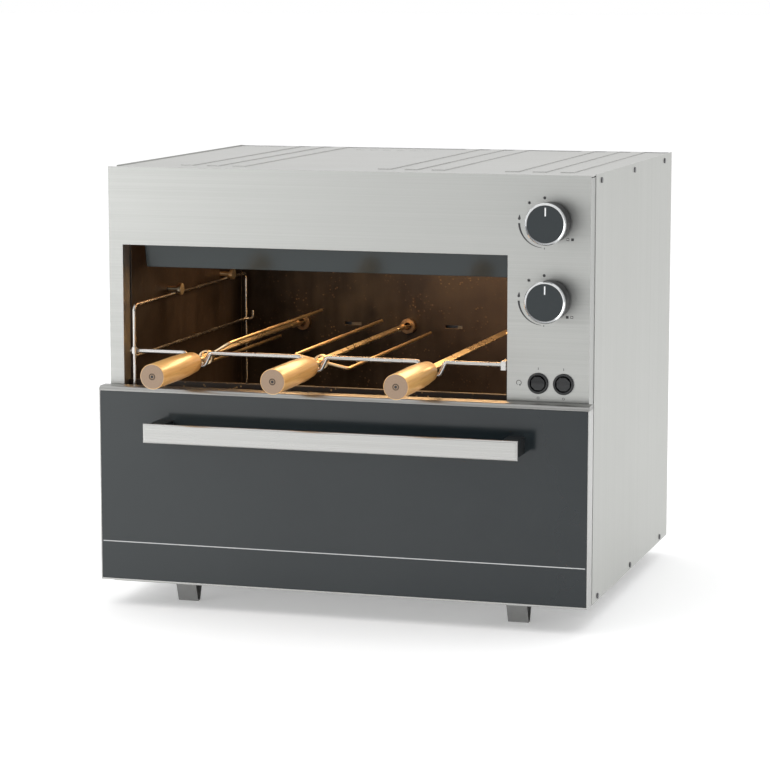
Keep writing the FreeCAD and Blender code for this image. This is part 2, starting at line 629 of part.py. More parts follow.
def drive():
    fit = size("running_fit")
    for name, place, _ in SPITS:
        across = f"middle_skewer + {place} * skewer_pitch"
        inner = "blade_thick / 2 + tip_fit"
        profile = [("socket_rad - socket_wall - 1", "-socket_nose"), ("socket_rad + 2", "-socket_nose"),
                   ("socket_rad + 2", "-0.4"), ("socket_rad", "-0.4"),
                   ("socket_rad", "gear_back + liner + gear_thick + 3"),
                   ("0", "gear_back + liner + gear_thick + 3"), ("0", "4"),
                   ("socket_rad - socket_wall - 1", "4")]
        socket = turned(f"socket_{name}", profile, (across, "chamber_depth", "axis_z"))
        bind(socket, Placement__Base__y="chamber_depth")
        wheel = gear(f"wheel_{name}", size("gear_teeth"), size("socket_rad - 0.5"), across, "axis_z")
        keep(fused(f"spit_drive_{name}", [socket, wheel]))
    pins = []
    for place, name in ((-0.5, "left"), (0.5, "right")):
        across = f"middle_skewer + {place} * skewer_pitch"
        idler = gear(f"idler_gear_{name}", size("gear_teeth"), size("stem_rad") + fit, across, "axis_z")
        bind(idler, Placement__Base__y="gear_front + shift_y")
        NODES.append(idler)
        pin = fused(f"idler_pin_{name}",
                    [rod(f"idler_axle_{name}", "stem_rad", (across, "chamber_depth + liner", "axis_z"),
                         "gear_back + gear_thick + 3", "y"),
                     rod(f"idler_head_{name}", "stem_rad + 3", (across, "gear_rear + 0.6", "axis_z"), "2",
                         "y"),
                     rod(f"idler_foot_{name}", "stem_rad + 3", (across, "chamber_depth + liner", "axis_z"),
                         "gear_back - 0.6", "y")])
        pins.append(pin)
    # a gap of the pinion faces the gear's tooth where the two meet
    up = math.pi / 2
    gear_step = 2 * math.pi / size("gear_teeth")
    share = (up % gear_step) / gear_step
    pinion_step = 2 * math.pi / size("pinion_teeth")
    phase = -up + pinion_step * (share + 0.5)
    toothed = gear("pinion_teeth_ring", size("pinion_teeth"), size("motor_shaft_rad - 0.5"),
                   "middle_skewer", "pinion_z", phase)
    shaft = rod("pinion_shaft", "motor_shaft_rad", ("middle_skewer", "gear_front - 1", "pinion_z"),
                "gear_thick + 6.4", "y")
    keep(fused("motor_pinion", [toothed, shaft]))
    motor = new_body("spit_motor")
    pad(motor, "xz", "gear_rear + 8", "gear_rear + 28", (), [(("middle_skewer", "pinion_z"), "25")])
    pad(motor, "xz", "gear_rear + 5.6", "gear_rear + 8", (), [(("middle_skewer", "pinion_z"), "6")])
    keep(motor)
    bracket = new_body("motor_bracket")
    pad(bracket, "xz", "gear_rear + 6", "gear_rear + 7.8",
        [rectangle("middle_skewer - 48", "middle_skewer + 48", "pinion_z - 8", "pinion_z + 34")])
    pocket(bracket, "xz", "gear_rear + 6", "gear_rear + 7.8", (), [(("middle_skewer", "pinion_z"), "6.2")])
    pad(bracket, "xz", "chamber_depth + liner", "gear_rear + 6.2", (),
        [((f"middle_skewer + {side} * 40", "pinion_z + 24"), "4") for side in (-1, 1)])
    keep(grouped("gear_carrier", pins + [bracket]))


def skewers():
    for name, place, fork_angle in SPITS:
        across = f"middle_skewer + {place} * skewer_pitch"
        wide = "blade_wide / 2" if fork_angle is not None else "blade_wide / 2 + 1"
        blade = new_body(f"spit_blade_{name}")
        pad(blade, "xz", "30 - grip_front", "neck_end + 4", (), [(("0", "0"), "shaft_rad")])
        chevron = [(f"-({wide})", "1.8"), ("0", "-1.2"), (wide, "1.8"), (wide, "3.2"), ("0", "0.6"),
                   (f"-({wide})", "3.2")]
        pad(blade, "xz", "neck_end", "chamber_depth - socket_nose - 2", [chevron])
        half = "blade_thick / 2"
        pad(blade, "xz", "chamber_depth - socket_nose - 40", "chamber_depth - socket_nose + tip_reach - 1",
            [rectangle(f"-({half})", half, f"-({half})", half)])
        bind(blade, Placement__Base__x=across, Placement__Base__y="shift_y", Placement__Base__z="axis_z")
        NODES.append(blade)

        # barrel-shaped wooden grip, bored for the shaft and rounded at its back end
        profile = [("0", "-grip_front"), ("grip_rad - 1", "-grip_front"), ("grip_rad", "1 - grip_front"),
                   ("grip_rad", "grip_rear - 62"), ("grip_rad - 0.6", "grip_rear - 34"),
                   ("grip_tail_rad + 1.4", "grip_rear - 10"), ("grip_tail_rad - 0.8", "grip_rear - 2.6"),
                   ("grip_tail_rad - 3.4", "grip_rear"), ("shaft_rad", "grip_rear"),
                   ("shaft_rad", "30 - grip_front"), ("0", "30 - grip_front")]
        grip = turned(f"wood_grip_{name}", profile, (across, "0", "axis_z"))
        NODES.append(grip)

        if fork_angle is None:
            continue
        wires = [Part.makeCylinder(8.4, 8, Vector(0, size("fork_start") - 4, 0), Vector(0, 1, 0))]
        for opposite in (0, math.pi):
            turn = math.radians(fork_angle) + opposite
            out = Vector(math.cos(turn), 0, math.sin(turn))
            start, corner = out * 7.4, out * size("fork_rad")
            lift = Vector(0, size("fork_start"), 0)
            wires.append(bent([start + lift, corner + lift, corner + Vector(0,
                                                                            size("fork_reach + fork_start"), 0)],
                              size("fork_wire"), 5.0))
        solid = wires[0].multiFuse(wires[1:])
        bore = Part.makeCylinder(size("blade_wide") / 2 + 1.6, 20, Vector(0, size("fork_start") - 10, 0),
                                 Vector(0, 1, 0))
        fork = shaped(f"spit_fork_{name}", solid.cut(bore))
        bind(fork, Placement__Base__x=across, Placement__Base__y="shift_y", Placement__Base__z="axis_z")
        NODES.append(fork)


# ---------------------------------------------------------------------------------------------
# Grill rack and drip tray
# ---------------------------------------------------------------------------------------------
def rack_and_tray():
    left, right = "wire_left + ledge_in", "wire_right - ledge_in"
    level = "under + rack_rail + wire_rad + rack_wire + slide_lift"
    near, far = "frame_depth + 6", "side_wire_back - 12"
    wire = size("rack_wire")
    rim = [point(left, near, level), point(right, near, level), point(right, far, level),
           point(left, far, level)]
    parts = [Part.makeCylinder(wire, (after - before).Length, before, after - before)
             for before, after in zip(rim, rim[1:] + rim[:1])]
    parts += [Part.makeSphere(wire, corner) for corner in rim]
    count = 17
    step = (size(right) - size(left)) / (count + 1)
    for index in range(1, count + 1):
        start = point(f"{left} + {index * step}", near, level)
        parts.append(Part.makeCylinder(wire * 0.75, size(f"{far} - ({near})"), start, Vector(0, 1, 0)))
    keep(shaped("grill_rack", parts[0].multiFuse(parts[1:])))

    tray = new_body("drip_tray")
    brim = "under + low_rail + wire_rad + slide_lift"
    deep = ("frame_depth + 6", "side_wire_back - 12")
    body_left, body_right = f"{left} + wire_rad + slide_gap", f"{right} - wire_rad - slide_gap"
    pad(tray, "xy", brim, f"{brim} + 1.2", [rectangle(f"{left} - 3", f"{right} + 3", *deep)])
    inner_deep = (f"{deep[0]} + 5", f"{deep[1]} - 5")
    pad(tray, "xy", f"{brim} - tray_height", brim, [rectangle(body_left, body_right, *inner_deep)])
    pocket(tray, "xy", f"{brim} - tray_height + 1.2", f"{brim} + 1.2",
           [rectangle(f"{body_left} + 1.2", f"{body_right} - 1.2", f"{inner_deep[0]} + 1.2",
                      f"{inner_deep[1]} - 1.2")])
    keep(tray)


# ---------------------------------------------------------------------------------------------
# Door
# ---------------------------------------------------------------------------------------------
def door():
    wide = rectangle("1.5 - door_half", "door_half - 1.5", "door_low + 2.2", "glass_high")
    keep(plate("door_glass", "xz", "door_front", "door_front + glass_thick", wide))

    trim = new_body("door_top_trim")
    pad(trim, "yz", "-door_half", "door_half",
        [[("door_front", "glass_high + 0.2"), ("door_back", "glass_high + 0.2"), ("door_back", "door_top"),
          ("door_front", "door_top")]])
    soften(trim, "trim_rise - 0.6",
           lambda edge, middle: edge.Length > 300 and middle.z > size("door_top") - 0.1
           and middle.y < size("door_front") + 0.1)
    keep(trim)
    sides = [block(f"door_edge_{index}", pair, ("door_front", "door_back"), ("door_low", "glass_high"))
             for index, pair in enumerate((("-door_half", "1.2 - door_half"),
                                           ("door_half - 1.2", "door_half")))]
    lip = block("door_lip", ("1.4 - door_half", "door_half - 1.4"), ("door_front", "door_front + 8"),
                ("door_low", "door_low + 1.8"))
    keep(grouped("door_edge_trims", sides + [lip]))

    pan = new_body("door_pan")
    front, back = "door_front + glass_thick + 0.4", "door_back"
    pad(pan, "xz", front, back,
        [rectangle("4 - door_half", "door_half - 4", "door_low + 2.4", "glass_high - 1")])
    pocket(pan, "xz", front, f"{back} - 1",
           [rectangle("5 - door_half", "door_half - 5", "door_low + 3.4", "glass_high - 2")])
    pocket(pan, "xz", f"{back} - 1", back,
           [rectangle(f"{side} * (half - 20) - 11", f"{side} * (half - 20) + 11", "door_low + 2.4",
                      "hinge_z + 8")
            for side in (-1, 1)])
    pocket(pan, "xz", front, back,
           [rectangle(f"{side} * (half - 20) - 11", f"{side} * (half - 20) + 11", "door_low + 2",
                      "door_low + 3.4")
            for side in (-1, 1)])
    for side in (-1, 1):
        for inner in (-1, 1):
            middle = f"{side} * (half - 20) + {inner} * 9.5"
            pad(pan, "yz", f"{middle} - 1.2", f"{middle} + 1.2",
                [rectangle("hinge_y - 4", f"{back} - 0.5", "hinge_z - 3.6", "hinge_z + 9")])
        pad(pan, "yz", f"{side} * (half - 20) - 10", f"{side} * (half - 20) + 10", (),
            [(("hinge_y", "hinge_z"), "pin_rad")])
    keep(pan)

    seal = new_body("door_seal")
    pad(seal, "xz", "door_back", "-0.4",
        [rectangle("8 - half", "half - 8", "hinge_z + 12", "fascia_low - 6")])
    pocket(seal, "xz", "door_back", "-0.4",
           [rectangle("16 - half", "half - 16", "hinge_z + 20", "fascia_low - 14")])
    keep(seal)

    bar = new_body("door_handle")
    half_tall = "handle_tall / 2"
    pad(bar, "xz", "handle_front", "handle_front + handle_thick",
        [rectangle("-handle_length / 2", "handle_length / 2", f"handle_z - {half_tall}",
                   f"handle_z + {half_tall}")])
    pad(bar, "xz", "handle_front + handle_thick - 0.1", "handle_front + 8",
        [rectangle("2 - handle_length / 2", "handle_length / 2 - 2", f"handle_z - {half_tall} + 2",
                   f"handle_z + {half_tall} - 2")])
    soften(bar, "handle_thick * 0.8", lambda edge, middle: middle.y < size("handle_front") + 0.01)
    keep(bar)
    arms = [block(f"handle_arm_{index}", (f"{side} * (handle_length / 2 - 12) - 9",
                                          f"{side} * (handle_length / 2 - 12) + 9"),
                  ("handle_front + 8", "door_front"), ("handle_z - 9.5", "handle_z + 9.5"))
            for index, side in enumerate((-1, 1))]
    keep(grouped("handle_arms", arms))

    ears = []
    for index, side in enumerate((-1, 1)):
        middle = f"{side} * (half - 20)"
        name = f"hinge_ear_{index}"
        ear = fused(f"{name}_blank",
                    [rod(f"{name}_eye", "pin_rad + 2.4", (f"{middle} - 3", "hinge_y", "hinge_z"), "6", "x"),
                     block(f"{name}_neck", (f"{middle} - 3", f"{middle} + 3"), ("hinge_y", "skin + 0.2"),
                           ("hinge_z - 5.4", "hinge_z + 5.4"))])
        bore = rod(f"{name}_bore", "pin_rad + running_fit", (f"{middle} - 4", "hinge_y", "hinge_z"), "8",
                   "x")
        ears.append(minus(name, ear, bore))
    keep(grouped("hinge_ears", ears))


# ---------------------------------------------------------------------------------------------
# Controls, gas line and electrics
# ---------------------------------------------------------------------------------------------
def controls():
    valves = []
    for name, level in (("upper", "knob_high"), ("lower", "knob_low")):
        stem_front = "knob_front + 8"
        stem = new_body(f"valve_stem_{name}")
        pad(stem, "xz", stem_front, "32", (), [(("0", "0"), "stem_rad")])
        pocket(stem, "xz", stem_front, "-knob_gap - 2", [rectangle("-stem_rad - 1", "stem_rad + 1",
                                                                   "stem_flat", "stem_rad + 1")])
        bind(stem, Placement__Base__x="control_x", Placement__Base__y="shift_y", Placement__Base__z=level)
        NODES.append(stem)

        back, face = "-knob_gap", "knob_front + 1"
        hub = "stem_rad + running_fit"
        skirt = f"{back} - knob_deep * 0.66"
        profile = [(hub, back), ("stem_rad + 4", back), ("stem_rad + 4", skirt),
                   ("knob_rad - knob_wall", skirt),
                   ("knob_rad - knob_wall", back), ("knob_rad", back), ("knob_rad", f"{face} + 3.2"),
                   ("ring_rad - 2.6", f"{face} + 3.2"), ("ring_rad - 2.6", face), ("0", face),
                   ("0", "knob_front + 4"), (hub, "knob_front + 4")]
        NODES.append(turned(f"knob_{name}", profile, ("control_x", "0", level)))
        ring = [("ring_rad - 2.5", f"{face} + 3.1"), ("ring_rad", f"{face} + 3.1"),
                ("ring_rad", "knob_front + 1"),
                ("ring_rad - 0.8", "knob_front"), ("ring_rad - 2.5", "knob_front + 0.6")]
        NODES.append(turned(f"knob_ring_{name}", ring, ("control_x", "0", level)))

        valve = new_body(f"gas_valve_{name}")
        pad(valve, "xz", "20", "54", [rectangle("-12", "12", "-11", "11")])
        pocket(valve, "xz", "20", "34", (), [(("0", "0"), "stem_rad + running_fit")])
        bind(valve, Placement__Base__x="control_x", Placement__Base__z=level)
        neck = rod(f"valve_neck_{name}", "3.5", ("control_x", "54", level), "line_y - pipe_rad - 54", "y")
        valves.append(fused(f"valve_{name}", [valve, neck]))
    keep(grouped("gas_valves", valves))

    casings = []
    for name, side in (("left", -1), ("right", 1)):
        across = f"control_x + {side} * switch_spacing / 2"
        profile = [("bezel_bore", "-bezel_proud + 0.4"), ("bezel_bore + 0.5", "-bezel_proud"),
                   ("bezel_rad - 0.8", "-bezel_proud"),
                   ("bezel_rad", "-bezel_proud + 0.8"), ("bezel_rad", "-0.05"),
                   ("bezel_rad - 1.8", "-0.05"),
                   ("bezel_rad - 1.8", "switch_deep"), ("0", "switch_deep"), ("0", "8"),
                   ("bezel_bore", "8")]
        casing = turned(f"switch_case_{name}", profile, (across, "0", "switch_z"))
        bind(casing, Placement__Base__y="0")
        casings.append(casing)
        paddle = new_body(f"rocker_{name}")
        pad(paddle, "yz", "-paddle_rad", "paddle_rad",
            [[("1.6", "-paddle_rad"), ("-bezel_proud + 0.6", "-paddle_rad"), ("-bezel_proud + 0.6", "0"),
              ("-bezel_proud - 1.6", "paddle_rad"), ("1.6", "paddle_rad")]])
        corner = "paddle_rad"
        sides = [[(f"{sx} * {corner}", f"{sz} * {corner}"), (f"{sx} * {corner}", f"{sz} * {corner} * 0.42"),
                  (f"{sx} * {corner} * 0.42", f"{sz} * {corner}")] for sx in (-1, 1) for sz in (-1, 1)]
        pocket(paddle, "xz", "-bezel_proud - 3", "4", sides)
        bind(paddle, Placement__Base__x=across, Placement__Base__y="shift_y", Placement__Base__z="switch_z")
        NODES.append(paddle)
    keep(grouped("switch_bodies", casings))


def services():
    middle, line_top = "control_x", "top - inlet_drop"
    manifold = bent([point(middle, "line_y", "knob_low - 11"), point(middle, "line_y", line_top),
                     point(middle, "back_face - 12", line_top)], size("pipe_rad"), 14.0)
    nipple = [("3", "back_face - 12"), ("inlet_rad + 1.2", "back_face - 12"),
              ("inlet_rad + 1.2", "back_face - 6"),
              ("9", "back_face - 6"), ("9", "back_face - 0.4"), ("inlet_rad + 1.2", "back_face - 0.4"),
              ("inlet_rad + 1.2", "cabinet_depth + 1"), ("inlet_rad", "cabinet_depth + 1"),
              ("inlet_rad", "rear_most - 1"), ("inlet_rad - 1", "rear_most"), ("3", "rear_most")]
    NODES.append(turned("gas_inlet", nipple, ("control_x", "0", line_top)))
    gland = [("2.5", "back_face - 8"), ("6", "back_face - 8"), ("6", "cabinet_depth"),
             ("9.5", "cabinet_depth"),
             ("9.5", "cabinet_depth + 3"), ("7", "cabinet_depth + 7"), ("2.5", "cabinet_depth + 7")]
    NODES.append(turned("cord_gland", gland, ("half - 40", "0", "under + 60")))

    feed = size("tube_rad")
    upper = [point("control_x", "40", "knob_high + 11"), point("control_x", "40", "top - 15"),
             point("burner_right_x", "40", "top - 15"), point("burner_right_x", "40", "ceiling + 22"),
             point("burner_right_x", "80", "ceiling + 22")]
    lower = [point("control_x - 12", "46", "knob_low"), point("control_x - 26", "46", "knob_low"),
             point("control_x - 26", "46", "top - 27"), point("burner_left_x", "46", "top - 27"),
             point("burner_left_x", "46", "ceiling + 22"), point("burner_left_x", "80", "ceiling + 22")]
    keep(grouped("gas_pipes", [shaped("manifold", manifold), shaped("feed_right", bent(upper, feed, 7.0)),
                               shaped("feed_left", bent(lower, feed, 6.0))]))

    box = block("spark_box", ("half - 62", "half - 20"), ("110", "170"),
                ("under + skin + 0.3", "under + 40"))
    electrodes = [rod(f"electrode_{index}", "2.5", (across, "84", "ceiling - 12"), "12", "z")
                  for index, across in enumerate(("burner_left_x + burner_wide / 2 + 8",
                                                  "burner_right_x + 90"))]
    keep(grouped("spark_igniter", electrodes + [box]))
    lamp = [("0", "-13"), ("8", "-12"), ("12", "-6"), ("12", "-0.4"), ("0", "-0.4")]
    lens = turned("lamp_lens", [(radius, high) for radius, high in lamp],
                  ("window_right - 22", "300", "ceiling - 30"))
    NODES.append(lens)


def check_model():
    """Stop before anything is written if a feature failed or a piece has no sound solid."""
    doc.recompute()
    for thing in doc.Objects:
        if {"Invalid", "Error"} & set(thing.State):
            raise RuntimeError(f"{thing.Name} failed: {thing.State}")
    for thing in NODES:
        if thing.Shape.isNull() or not thing.Shape.isValid() or thing.Shape.Volume <= 0:
            raise RuntimeError(f"{thing.Label} has no sound solid")


cabinet()
chamber()
chamber_fittings()
drive()
skewers()
rack_and_tray()
door()
controls()
services()
check_model()
os.makedirs("parts", exist_ok=True)
for node in NODES:
    node.Shape.exportStep(f"parts/{node.Label}.step")
print(len(NODES), "nodes")
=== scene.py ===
import json
import math
import bmesh
import bpy
from mathutils import Matrix, Vector


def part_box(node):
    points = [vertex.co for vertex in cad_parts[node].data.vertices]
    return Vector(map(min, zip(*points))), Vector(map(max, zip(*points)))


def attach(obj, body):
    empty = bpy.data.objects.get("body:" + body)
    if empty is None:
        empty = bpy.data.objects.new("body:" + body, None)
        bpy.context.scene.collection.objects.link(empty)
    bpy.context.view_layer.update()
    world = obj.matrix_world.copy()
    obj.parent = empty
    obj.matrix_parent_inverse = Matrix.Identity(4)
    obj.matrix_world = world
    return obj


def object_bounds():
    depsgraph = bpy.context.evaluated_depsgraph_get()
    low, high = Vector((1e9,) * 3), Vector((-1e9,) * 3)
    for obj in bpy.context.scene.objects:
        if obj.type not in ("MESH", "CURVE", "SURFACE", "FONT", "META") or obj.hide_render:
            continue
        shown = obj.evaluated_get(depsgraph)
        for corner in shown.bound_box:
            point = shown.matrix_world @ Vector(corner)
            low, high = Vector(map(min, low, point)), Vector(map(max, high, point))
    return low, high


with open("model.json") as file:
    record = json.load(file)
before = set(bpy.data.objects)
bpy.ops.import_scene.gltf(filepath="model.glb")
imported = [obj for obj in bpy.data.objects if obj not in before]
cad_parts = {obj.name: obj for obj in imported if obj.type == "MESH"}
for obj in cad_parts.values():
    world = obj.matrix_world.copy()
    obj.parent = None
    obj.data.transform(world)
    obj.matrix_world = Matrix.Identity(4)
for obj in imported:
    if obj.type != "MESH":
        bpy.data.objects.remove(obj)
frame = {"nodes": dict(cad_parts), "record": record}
cad_low, cad_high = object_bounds()
NODES = frame["nodes"]
SLOT_OF = {part["node"]: part["material_slot"] for part in frame["record"]["subparts"]}
MM = 0.001
WHITE = (1.0, 1.0, 1.0, 1.0)


# ------------------------------------------------------------------------------------------
# Shader building blocks
# ------------------------------------------------------------------------------------------
class Recipe:
    """A node tree being filled in, either a material's or a shared group's."""

    def __init__(self, tree):
        self.tree = tree

    def feed(self, socket, value):
        if isinstance(value, bpy.types.NodeSocket):
            self.tree.links.new(value, socket)
        else:
            socket.default_value = value

    def add(self, kind, inputs=None, **settings):
        made = self.tree.nodes.new("ShaderNode" + kind)
        for name, value in settings.items():
            setattr(made, name, value)
        for name, value in (inputs or {}).items():
            self.feed(made.inputs[name], value)
        return made

    def maths(self, operation, first, second=0.5, clamp=False):
        return self.add("Math", {0: first, 1: second}, operation=operation, use_clamp=clamp).outputs[0]

    def stretched(self, where, stretch):
        return self.add("VectorMath", {0: where, 1: stretch}, operation="MULTIPLY").outputs[0]

    def noise(self, where, scale, detail=3.0, roughness=0.55):
        inputs = {"Vector": where, "Scale": scale, "Detail": detail, "Roughness": roughness}
        return self.add("TexNoise", inputs).outputs["Fac"]

    def between(self, value, low, high, out_low=0.0, out_high=1.0):
        inputs = {"Value": value, "From Min": low, "From Max": high, "To Min": out_low, "To Max": out_high}
        return self.add("MapRange", inputs).outputs["Result"]

    def tint(self, share, first, second):
        mix = self.add("Mix", data_type="RGBA")
        self.feed(mix.inputs["Factor"], share)
        self.feed(mix.inputs[6], first)
        self.feed(mix.inputs[7], second)
        return mix.outputs[2]

    def bump(self, height, strength, depth, normal=None):
        inputs = {"Height": height, "Strength": strength, "Distance": depth}
        if normal is not None:
            inputs["Normal"] = normal
        return self.add("Bump", inputs).outputs["Normal"]

    def place(self, group, **inputs):
        made = self.tree.nodes.new("ShaderNodeGroup")
        made.node_tree = group
        for name, value in inputs.items():
            self.feed(made.inputs[name], value)
        return made.outputs


def shared_group(name, inputs, outputs):
    """An empty shader group with named sockets, and its input and output nodes."""
    tree = bpy.data.node_groups.new(name, "ShaderNodeTree")
    for label, kind, value in inputs:
        socket = tree.interface.new_socket(label, in_out="INPUT", socket_type="NodeSocket" + kind)
        if value is not None:
            socket.default_value = value
    for label, kind in outputs:
        tree.interface.new_socket(label, in_out="OUTPUT", socket_type="NodeSocket" + kind)
    return Recipe(tree), tree.nodes.new("NodeGroupInput").outputs, tree.nodes.new("NodeGroupOutput").inputs


def brushed_lines_group():
    """Long fine scratches: Stretch is how often the pattern changes per metre along each axis."""
    recipe, given, out = shared_group("brushed lines", [("Where", "Vector", None),
                                                       ("Stretch", "Vector", (3.0, 900.0, 900.0))],
                                      [("Fine", "Float"), ("Broad", "Float")])
    fine = recipe.noise(recipe.stretched(given["Where"], given["Stretch"]), 1.0, 4.0, 0.7)
    broad = recipe.noise(recipe.stretched(given["Where"], given["Stretch"]), 0.12, 2.0)
    recipe.feed(out["Fine"], fine)
    recipe.feed(out["Broad"], broad)
    return recipe.tree


def handling_group():
    """Faint cloudy marks that hands and cloths leave on smooth surfaces."""
    recipe, given, out = shared_group("handling marks", [("Where", "Vector", None), ("Size", "Float", 9.0)],
                                      [("Cloud", "Float"), ("Grain", "Float")])
    cloud = recipe.noise(given["Where"], given["Size"], 5.0, 0.6)
    grain = recipe.noise(given["Where"], 1400.0, 2.0)
    recipe.feed(out["Cloud"], recipe.between(cloud, 0.35, 0.7))
    recipe.feed(out["Grain"], grain)
    return recipe.tree


def softened_edges_group():
    """Rounds the look of sharp edges and finds where they are."""
    recipe, given, out = shared_group("softened edges", [("Radius", "Float", 0.0006)],
                                      [("Normal", "Vector"), ("Edge", "Float")])
    rounded = recipe.add("Bevel", {"Radius": given["Radius"]}, samples=4).outputs["Normal"]
    flat = recipe.add("NewGeometry").outputs["Normal"]
    along = recipe.add("VectorMath", {0: rounded, 1: flat}, operation="DOT_PRODUCT").outputs["Value"]
    recipe.feed(out["Normal"], rounded)
    recipe.feed(out["Edge"], recipe.between(along, 0.995, 0.8))
    return recipe.tree


def baked_film_group():
    """Browned film and dark specks that heat and fat leave on the chamber's sheet."""
    recipe, given, out = shared_group("baked film", [("Where", "Vector", None), ("Scale", "Float", 12.0)],
                                      [("Film", "Float"), ("Specks", "Float"), ("Height", "Float")])
    cloud = recipe.noise(given["Where"], given["Scale"], 7.0, 0.65)
    drip = recipe.noise(recipe.stretched(given["Where"], (60.0, 60.0, 7.0)), 1.0, 4.0, 0.6)
    film = recipe.between(recipe.maths("ADD", cloud, recipe.maths("MULTIPLY", drip, 0.5)), 0.6, 0.95)
    dots = recipe.add("TexVoronoi", {"Vector": given["Where"], "Scale": 210.0, "Randomness": 1.0})
    near = recipe.between(dots.outputs["Distance"], 0.28, 0.16)
    patchy = recipe.between(recipe.noise(given["Where"], 30.0, 3.0), 0.5, 0.62)
    specks = recipe.maths("MULTIPLY", near, patchy, clamp=True)
    recipe.feed(out["Film"], film)
    recipe.feed(out["Specks"], specks)
    recipe.feed(out["Height"], recipe.maths("ADD", recipe.maths("MULTIPLY", film, 0.4), specks))
    return recipe.tree


LINES = brushed_lines_group()
HANDLING = handling_group()
EDGES = softened_edges_group()
FILM = baked_film_group()


def start(name, **plain):
    """A material with its shader, the object coordinates, and constants set on the shader itself."""
    material = bpy.data.materials.new(name)
    material.use_nodes = True
    shader = material.node_tree.nodes["Principled BSDF"]
    for socket, value in plain.items():
        shader.inputs[socket.replace("_", " ")].default_value = value
    recipe = Recipe(material.node_tree)
    where = recipe.add("TexCoord").outputs["Object"]
    return material, recipe, shader.inputs, where


# ------------------------------------------------------------------------------------------
# Materials
# ------------------------------------------------------------------------------------------
TURNING_LINES = 9000.0    # radians of ring pattern per metre, on the knob faces
GROWTH_RINGS = 5200.0     # the same for the rings in a grip's end grain
LENS_RIBS = 2400.0        # the same for the ribs of the lamp lens
KNOB_WALL = 2.0 * MM      # black rim round a knob's set-in face
RIM_BLUR = 0.2 * MM
# Painted shade: the left of the chamber's rear wall is darkened towards near black, standing in for the shade
# it lies in.
PAINTED_SHADE = (0.004, 0.0035, 0.003, 1.0)
PAINTED_SHADE_SHARE = 0.75
PAINTED_SHADE_CLEAR, PAINTED_SHADE_FULL = 0.10, -0.10           # painted shade darkens the rear wall from here to here, leftwards
BACK_WALL_NEAR, BACK_WALL_FAR = 0.19, 0.215   # and only over the rear wall's depth


def knob_moulding(name, low, high):
    """Knob with a blue-grey face set in a barrel kept black as painted shade on the knob's side, told apart
    by the distance from the knob's axis.
    """
    material, recipe, shader, where = start(name, Roughness=0.4)
    middle = ((low.x + high.x) / 2, 0.0, (low.z + high.z) / 2)
    parts = recipe.add("SeparateXYZ", {"Vector": recipe.add("VectorMath", {0: where, 1: middle},
                                                            operation="SUBTRACT").outputs[0]})
    flat = recipe.add("CombineXYZ", {"X": parts.outputs["X"], "Y": 0.0, "Z": parts.outputs["Z"]}).outputs[0]
    out = recipe.add("VectorMath", {0: flat}, operation="LENGTH").outputs["Value"]
    radius = (high.x - low.x) / 2
    marks = recipe.place(HANDLING, Where=where, Size=30.0)
    turned = recipe.maths("SINE", recipe.maths("MULTIPLY", out, TURNING_LINES))
    face = recipe.tint(recipe.between(turned, -1.0, 1.0), (0.008, 0.014, 0.017, 1.0),
                       (0.012, 0.019, 0.022, 1.0))
    # Painted shade: the barrel stays near black, darker than the face, standing in for the shade on the
    # knob's side.
    barrel = recipe.tint(marks["Cloud"], (0.009, 0.009, 0.010, 1.0), (0.014, 0.014, 0.016, 1.0))
    shaded_barrel_mask = recipe.between(out, radius - KNOB_WALL - RIM_BLUR, radius - KNOB_WALL + RIM_BLUR)
    recipe.feed(shader["Base Color"], recipe.tint(shaded_barrel_mask, face, barrel))
    recipe.feed(shader["Roughness"], recipe.between(marks["Grain"], 0.3, 0.7, 0.34, 0.46))
    edges = recipe.place(EDGES, Radius=0.0006)
    recipe.feed(shader["Normal"], recipe.bump(marks["Grain"], 0.15, 0.00006, edges["Normal"]))
    return material


def brushed_sheet(name, stretch, light, dark, roughness, radius=0.0007):
    """Stainless sheet with a brushed grain, cloudy handling marks and bright worn edges."""
    material, recipe, shader, where = start(name, Metallic=1.0, Anisotropic=0.35)
    lines = recipe.place(LINES, Where=where, Stretch=stretch)
    marks = recipe.place(HANDLING, Where=where, Size=5.0)
    edges = recipe.place(EDGES, Radius=radius)
    grain = recipe.between(recipe.maths("ADD", lines["Fine"], recipe.maths("MULTIPLY", lines["Broad"], 0.25)),
                           0.4, 0.85)
    colour = recipe.tint(grain, dark, light)
    worn = recipe.tint(recipe.maths("MULTIPLY", edges["Edge"], 0.5), colour, (0.86, 0.86, 0.85, 1.0))
    recipe.feed(shader["Base Color"], worn)
    spread = recipe.between(grain, 0.0, 1.0, roughness + 0.06, roughness - 0.05)
    smeared = recipe.maths("MULTIPLY", marks["Cloud"], 0.05)
    recipe.feed(shader["Roughness"], recipe.maths("ADD", spread, smeared))
    recipe.feed(shader["Normal"], recipe.bump(lines["Fine"], 0.12, 0.00008, edges["Normal"]))
    return material


def plain_metal(name, light, dark, roughness, lines=(120.0, 120.0, 120.0), edge=0.0005, relief=0.1):
    """Machined, drawn or plated metal with faint tooling marks and rubbed edges."""
    material, recipe, shader, where = start(name, Metallic=1.0)
    tooling = recipe.place(LINES, Where=where, Stretch=lines)
    marks = recipe.place(HANDLING, Where=where, Size=24.0)
    edges = recipe.place(EDGES, Radius=edge)
    colour = recipe.tint(tooling["Fine"], dark, light)
    cloudy = recipe.tint(recipe.maths("MULTIPLY", marks["Cloud"], 0.35), colour, dark)
    rubbed = recipe.maths("MULTIPLY", edges["Edge"], 0.4)
    recipe.feed(shader["Base Color"], recipe.tint(rubbed, cloudy, light))
    recipe.feed(shader["Roughness"], recipe.between(marks["Cloud"], 0.0, 1.0, roughness, roughness + 0.12))
    recipe.feed(shader["Normal"], recipe.bump(tooling["Fine"], relief, 0.00006, edges["Normal"]))
    return material


